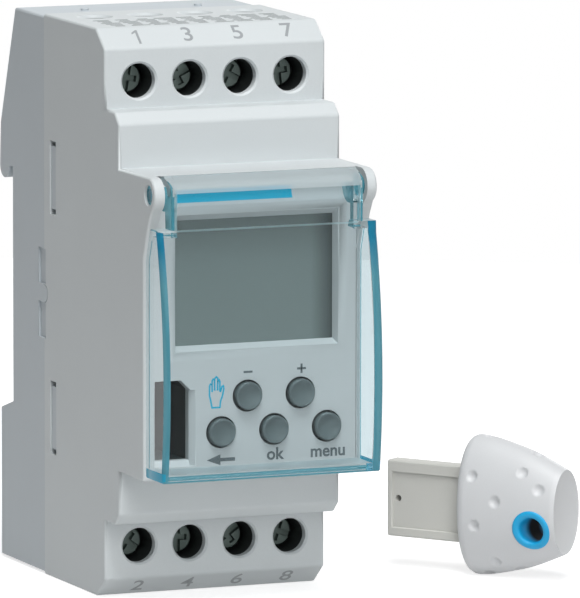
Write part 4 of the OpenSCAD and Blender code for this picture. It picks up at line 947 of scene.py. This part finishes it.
cover_material, cover_tree, cover_shader = new_material("clear blue-green polycarbonate")
cover_shader.inputs["Base Color"].default_value = (0.765, 0.83, 0.85, 1)
cover_shader.inputs["Transmission Weight"].default_value = 1
cover_shader.inputs["IOR"].default_value = 1.2
flow = noise(cover_tree, cover_tree.nodes.new("ShaderNodeTexCoord").outputs["Object"], 300, 2)
cover_tree.links.new(sums(cover_tree, "MULTIPLY_ADD", flow, 0.03, 0.0), cover_shader.inputs["Roughness"])
cover_rays = cover_tree.nodes.new("ShaderNodeLightPath").outputs
clear = cover_tree.nodes.new("ShaderNodeBsdfTransparent")
clear.inputs["Color"].default_value = (0.93, 0.94, 0.94, 1)
through = cover_tree.nodes.new("ShaderNodeMixShader")
straight = sums(cover_tree, "MAXIMUM", cover_rays["Is Shadow Ray"], cover_rays["Is Diffuse Ray"])
cover_tree.links.new(straight, through.inputs["Fac"])
cover_tree.links.new(cover_shader.outputs["BSDF"], through.inputs[1])
cover_tree.links.new(clear.outputs["BSDF"], through.inputs[2])
cover_output = cover_tree.nodes["Material Output"]
cover_tree.links.new(through.outputs["Shader"], cover_output.inputs["Surface"])
BELOW_STEP_Z = 13
cover_piece = rounded("cover", "clear_cover", "cover", cover_material, 0.8, cover_edges,
                      ((X, 0), (X, RIM_X), (X, ARM_X), (X, -ARM_X), (Z, HINGE.z), (Z, BELOW_STEP_Z),
                       (Z, PAINTED_GLOW_Z)))


def variant(source, name, colour, transmission):
    """A copy of one of the cover's materials with a colour and clearness of its own."""
    material = source.copy()
    material.name = name
    shader = material.node_tree.nodes["Principled BSDF"]
    shader.inputs["Base Color"].default_value = colour
    shader.inputs["Transmission Weight"].default_value = transmission
    return material, material.node_tree, shader


# Painted light: the rounded edges and the pin ends get a diffuse deep blue-green, standing in for light that
# passes a long way through the tinted plastic
EDGE_PAINTED_LIGHT_COLOUR = shade(88, 166, 184)
painted_edge_light_material = variant(cover_material, "blue-green cover edge with painted light", EDGE_PAINTED_LIGHT_COLOUR, transmission=0.6)[0]
cover_piece.data.materials.append(painted_edge_light_material)
cover_piece.modifiers["moulded radius"].material = 1
cover_piece.modifiers["moulded radius"].harden_normals = False
baked = evaluated(cover_piece)
cover_piece.modifiers.clear()
cover_piece.data = baked
# The lip over the hinge is a little fuller than its solid, so that it nearly closes the trough
LIP_RADIUS = 2.45
FULL_LIP_RADIUS = 2.68
for vertex in baked.vertices:
    spoke = Vector((0, vertex.co.y, vertex.co.z)) - Vector((0, HINGE.y, HINGE.z)) * MM
    if spoke.z > 1.2 * MM and spoke.y > -0.3 * MM and abs(spoke.length / MM - LIP_RADIUS) < 0.08:
        vertex.co += spoke * (FULL_LIP_RADIUS / LIP_RADIUS - 1)
# Faces that point up scatter light, because the mould leaves them frosted
frosted_material, frosted_tree, frosted_shader = variant(
    cover_material, "frosted cover face", (0.6, 0.67, 0.69, 1), transmission=0.55)
frosted_tree.nodes["Transparent BSDF"].inputs["Color"].default_value = (0.7, 0.73, 0.74, 1)
frost = noise(frosted_tree, frosted_tree.nodes["Texture Coordinate"].outputs["Object"], 5000, 2)
frosted_roughness = sums(frosted_tree, "MULTIPLY_ADD", frost, 0.1, 0.3)
frosted_tree.links.new(frosted_roughness, frosted_shader.inputs["Roughness"])
# Painted light: the arms' side faces get a pale blue-green, standing in for light that passes through their
# thickness
arm_painted_light_material = variant(painted_edge_light_material, "pale blue-green cover arm with painted light", shade(140, 200, 212), transmission=0.6)[0]
# Painted light: the front corners and the front strip by the right wall get a blue-green painted deeper
# towards the step, standing in for light carried from end to end of the walls
RIM_PALE_Z = 7.0
RIM_DEEP_Z = 12.5
rim_painted_light_material, rim_tree, rim_shader = variant(
    painted_edge_light_material, "deep blue-green cover rim with painted light", EDGE_PAINTED_LIGHT_COLOUR, transmission=0.3)
rim_height = rim_tree.nodes.new("ShaderNodeSeparateXYZ")
rim_tree.links.new(rim_tree.nodes["Texture Coordinate"].outputs["Object"], rim_height.inputs[0])
painted_deepening = ramp(rim_tree, rim_height.outputs["Z"], RIM_PALE_Z * MM, RIM_DEEP_Z * MM)
rim_painted_light_colour = blend(rim_tree, painted_deepening.outputs["Result"], shade(84, 150, 166), shade(16, 120, 156))
rim_tree.links.new(rim_painted_light_colour, rim_shader.inputs["Base Color"])
# The lower ends of the side walls get a painted glow, standing in for light that runs down the walls, and the
# thick arms blur what is behind them
painted_glow_material = variant(painted_edge_light_material, "painted glow at the end of the cover's lower wall", shade(36, 164, 200),
                         transmission=0.2)[0]
soft_material = variant(frosted_material, "thick cover arm", shade(196, 226, 232), transmission=0.85)[0]
for material in (frosted_material, arm_painted_light_material, rim_painted_light_material, painted_glow_material, soft_material):
    baked.materials.append(material)
EDGE, FROSTED, ARM, RIM, PAINTED_GLOW, SOFT = range(1, 7)
# Each face takes its material: painted light on the pin ends, the arm sides, the front rim and the lower ends
# of the side walls, frost on faces that point up, and blur on the arm fronts and the step's crease
for polygon in baked.polygons:
    middle = polygon.center / MM
    outward = polygon.normal
    is_edge = polygon.material_index == EDGE
    from_axis = math.hypot(middle.y - HINGE.y, middle.z - HINGE.z)
    in_front = middle.y < WALL_FRONT_Y
    below_step = middle.z < STEP_Z - 0.3
    on_top = outward.z > 0.9 or middle.z > KNUCKLE_TOP_Z or (outward.z < -0.9 and middle.z > HINGE.z)
    on_crest = middle.z > HINGE.z + 0.2 and abs(middle.x) < PIN_ROOT_X - 0.3
    on_crease = abs(middle.z - STEP_Z) < 0.3 and middle.y < COVER_FRONT_Y and is_edge
    on_arm_side = abs(outward.x) > 0.9 and middle.z > STEP_Z and abs(middle.x) < PIN_ROOT_X
    on_arm_front = outward.y < -0.9 and middle.z > STEP_Z + 0.3 and ARM_X < abs(middle.x) < PIN_ROOT_X
    on_pin = abs(middle.x) > PIN_ROOT_X and from_axis < PIN_HOLE_RADIUS
    on_corner = is_edge and abs(middle.x) > COVER_HALF_WIDTH - 1
    if on_crease and abs(middle.x) < ARM_X:
        polygon.material_index = SOFT
    elif on_crease or (on_top and not is_edge) or (is_edge and on_crest):
        polygon.material_index = FROSTED
    elif on_arm_side:
        polygon.material_index = ARM
    elif on_pin:
        polygon.material_index = EDGE
    elif abs(outward.x) > 0.7 and abs(middle.x) > COVER_HALF_WIDTH - 0.4 and middle.z < PAINTED_GLOW_Z:
        polygon.material_index = PAINTED_GLOW
    elif in_front and below_step and (on_corner or (middle.x > RIM_X and outward.y < -0.9)):
        polygon.material_index = RIM
    elif on_arm_front and not is_edge:
        polygon.material_index = SOFT
# The walls bend light evenly, because their shading ends where a rounded edge begins
beside = {}
for polygon in baked.polygons:
    for pair in polygon.edge_keys:
        beside.setdefault(pair, set()).add(polygon.material_index)
baked.set_sharp_from_angle(angle=math.radians(35))
for edge in baked.edges:
    if len(beside[edge.key]) > 1:
        edge.use_edge_sharp = True

# Program key: a flat grey blade with a recessed panel and six contact pads, in a white dimpled
# grip. A blue lanyard eye is pressed through the grip.
KEY_PLACE = Vector((43, -37.4, -42.1)) * MM
KEY_TURN = math.radians(36)
KEY_MIDDLE = Vector((0, 1.8, 10.55)) * MM
KEY_FRAME = Matrix.Translation(KEY_PLACE) @ Matrix.Rotation(KEY_TURN, 4, "Z") @ Matrix.Translation(KEY_MIDDLE)
TO_KEY = KEY_FRAME.inverted()
BLADE_LENGTH = 13.3
BLADE_SKIN_X = 1.99
BLADE_EDGE_Z = 5.8
blade_plastic = moulded("key blade plastic", shade(194, 194, 189), 0.4, 5200, 0.012 * MM)


def blade_edges(middle, run):
    """Round edges on the blade, finer ones round its recessed panel."""
    local = TO_KEY @ (middle * MM) / MM
    if local.y < 0.1 or run.length < 1.2:
        return 0
    on_skin = abs(local.x) > BLADE_SKIN_X and abs(abs(local.z) - BLADE_EDGE_Z) < 0.1
    on_tip = local.y > BLADE_LENGTH - NEAR
    return 1 if on_skin or on_tip else 0.35


rounded("key_body", "key_blade", "program_key", blade_plastic, 0.35, blade_edges)
dress(gold_pins, "key_pads")

GRIP_RINGS = ((0, 3.92, 8.44), (0.36, 4.66, 9.6), (0.99, 5.14, 10.29), (1.8, 5.3, 10.55), (9.2, 4.95, 9.2),
              (15.8, 4.15, 6.7), (16.5, 3.8, 6.35))


def between_rings(u, column):
    """A half size of the grip at a distance along it, on a smooth line through its rings."""
    knots = [(ring[0], ring[column]) for ring in GRIP_RINGS]
    slopes = [(b[1] - a[1]) / (b[0] - a[0]) for a, b in zip(knots, knots[1:])]
    k = min(max(sum(1 for knot in knots[1:] if u > knot[0]), 0), len(slopes) - 1)

    def tangent(i):
        if i in (0, len(slopes)):
            return slopes[min(i, len(slopes) - 1)]
        before, after = slopes[i - 1], slopes[i]
        return 0 if before * after <= 0 else 2 * before * after / (before + after)

    (u0, v0), (u1, v1) = knots[k], knots[k + 1]
    span = u1 - u0
    t = (u - u0) / span
    return (v0 * (1 + 2 * t) * (1 - t) ** 2 + span * tangent(k) * t * (1 - t) ** 2
            + v1 * t * t * (3 - 2 * t) + span * tangent(k + 1) * t * t * (t - 1))


DIMPLE_RADIUS = 1.1
DIMPLE_DEPTH = 0.45
DIMPLES = ((3, 27), (7.1, 8), (3.6, -13), (11.1, 42), (14.1, 28), (6.3, -52), (4.4, -75), (9.6, -79),
           (3.7, 92), (12, 88), (3, 153), (7.1, 172), (3.6, 193), (11.1, 138), (14.1, 152), (6.3, 232))
GRIP_LENGTH = 16.5
GRIP_AROUND = 256
GRIP_ALONG = 84
GRIP_CROWDING = 1.15
outset = DIMPLE_RADIUS - DIMPLE_DEPTH
balls = []
for u, degrees in DIMPLES:
    angle = math.radians(degrees)
    balls.append(Vector((-(between_rings(u, 1) + outset) * math.cos(angle), -u,
                         (between_rings(u, 2) + outset) * math.sin(angle))))


def dented(point, outward):
    """A point of the grip, pushed in where a dimple's ball reaches over it."""
    for ball in balls:
        offset = point - ball
        if offset.length < DIMPLE_RADIUS:
            lean = offset.dot(outward)
            reach = math.sqrt(lean ** 2 - offset.length_squared + DIMPLE_RADIUS ** 2)
            point = point - outward * (lean + reach)
    return point


grip = bmesh.new()
rings = []
stations = [GRIP_LENGTH * (k / GRIP_ALONG) ** GRIP_CROWDING for k in range(GRIP_ALONG + 1)]
for u in stations:
    half_t, half_h = between_rings(u, 1), between_rings(u, 2)
    ring = []
    for k in range(GRIP_AROUND):
        angle = math.tau * k / GRIP_AROUND
        point = Vector((-half_t * math.cos(angle), -u, half_h * math.sin(angle)))
        outward = Vector((-math.cos(angle) / half_t, 0, math.sin(angle) / half_h)).normalized()
        ring.append(grip.verts.new(dented(point, outward) * MM))
    rings.append(ring)
for near, far in zip(rings, rings[1:]):
    for k in range(GRIP_AROUND):
        grip.faces.new((near[k - 1], near[k], far[k], far[k - 1]))
END_DISH = 0.25
END_INSET = 0.9
INSET_DISH = 0.6
for ring, dish in ((rings[0], 0), (rings[-1], END_DISH)):
    centre_u = -ring[0].co.y / MM - dish
    sink = dish * INSET_DISH * MM
    inner = [grip.verts.new((v.co.x * END_INSET, v.co.y + sink, v.co.z * END_INSET)) for v in ring]
    centre = grip.verts.new((0, -centre_u * MM, 0))
    for k in range(GRIP_AROUND):
        grip.faces.new((ring[k - 1], ring[k], inner[k], inner[k - 1]))
        grip.faces.new((inner[k - 1], inner[k], centre))
bmesh.ops.recalc_face_normals(grip, faces=grip.faces)
grip_plastic = moulded("white grip plastic", shade(204, 206, 208), 0.4, 6000, 0.006 * MM)
grip_mesh = bpy.data.meshes.new("key_grip_shell")
grip.to_mesh(grip_mesh)
grip.free()

EYELET_U = 12.9
EYELET_DROP = 2.5
EYELET_RADIUS = 2.95
PUNCH_LENGTH = 14
PUNCH_SIDES = 64
punch_solid = bmesh.new()
punch_place = Matrix.Translation(Vector((0, -EYELET_U, -EYELET_DROP)) * MM)
bmesh.ops.create_cone(
    punch_solid, cap_ends=True, segments=PUNCH_SIDES, radius1=EYELET_RADIUS * MM, radius2=EYELET_RADIUS * MM,
    depth=PUNCH_LENGTH * MM, matrix=punch_place @ Matrix.Rotation(math.pi / 2, 4, "Y"))
punch_mesh = bpy.data.meshes.new("punch")
punch_solid.to_mesh(punch_mesh)
punch_solid.free()
punch = placed("punch", punch_mesh)
blank = placed("blank", grip_mesh)
hole = blank.modifiers.new("eyelet hole", "BOOLEAN")
hole.object = punch
hole.operation = "DIFFERENCE"
punched = evaluated(blank)
bpy.data.objects.remove(blank)
bpy.data.objects.remove(punch)
punched.transform(KEY_FRAME)
grip_piece = add_piece("key_grip_shell", punched, "program_key", grip_plastic, ("key_grip",))
grip_piece.data.shade_smooth()
grip_piece.data.set_sharp_from_angle(angle=math.radians(38))

# Ring of the eye: radius and how far the lip stands out of the grip, from outside to the bore
EYELET_LIP = ((2.95, -0.4), (2.95, 0.0), (2.88, 0.12), (2.7, 0.2), (2.4, 0.2), (2.1, 0.1), (1.92, -0.1),
              (1.85, -0.45), (1.84, -1.6))
EYELET_STEPS = 72


def grip_side(u, z):
    half_h = between_rings(u, 2)
    return between_rings(u, 1) * math.sqrt(max(0.0, 1 - (z / half_h) ** 2))


eye = bmesh.new()
loops = []
for k in range(EYELET_STEPS):
    angle = math.tau * k / EYELET_STEPS
    loop = []
    for side, lip in ((-1, EYELET_LIP), (1, EYELET_LIP[::-1])):
        for radius, proud in lip:
            u = EYELET_U + radius * math.cos(angle)
            z = -EYELET_DROP + radius * math.sin(angle)
            loop.append(eye.verts.new(Vector((side * (grip_side(u, z) + proud), -u, z)) * MM))
    loops.append(loop)
for near, far in zip(loops, loops[1:] + loops[:1]):
    for k in range(len(near)):
        eye.faces.new((near[k - 1], near[k], far[k], far[k - 1]))
bmesh.ops.recalc_face_normals(eye, faces=eye.faces)
eye.transform(KEY_FRAME)
EYE_BLUE = shade(14, 162, 214)
BORE_PAINTED_SHADE_END = 1.0
BORE_UNSHADED_START = 3.0
eye_plastic = moulded("blue eyelet plastic", EYE_BLUE, 0.4, 6000, 0.006 * MM)
# Painted shade: the bore's colour darkens towards its middle, where no light comes
eye_tree = eye_plastic.node_tree
key_across = KEY_FRAME.col[0].to_3d()
deepness = eye_tree.nodes.new("ShaderNodeVectorMath")
deepness.operation = "DOT_PRODUCT"
deepness.inputs[1].default_value = key_across
eye_tree.links.new(eye_tree.nodes.new("ShaderNodeTexCoord").outputs["Object"], deepness.inputs[0])
off_middle = sums(eye_tree, "SUBTRACT", deepness.outputs["Value"], KEY_FRAME.translation.dot(key_across))
painted_shade_fade = ramp(eye_tree, sums(eye_tree, "ABSOLUTE", off_middle), BORE_PAINTED_SHADE_END * MM, BORE_UNSHADED_START * MM)
painted_shade_fade.interpolation_type = "SMOOTHSTEP"
bore_painted_shade_colour = blend(eye_tree, painted_shade_fade.outputs["Result"], shade(3, 7, 9), EYE_BLUE)
eye_tree.links.new(bore_painted_shade_colour, eye_tree.nodes["Group"].inputs["Colour"])
eye_tree.links.new(sums(eye_tree, "MULTIPLY_ADD", painted_shade_fade.outputs["Result"], -0.5, 0.9),
                   eye_tree.nodes["Group"].inputs["Roughness"])
eye_piece = add_piece("key_eyelet_ring", eye, "program_key", eye_plastic, ("key_eyelet",))
eye_piece.data.shade_smooth()
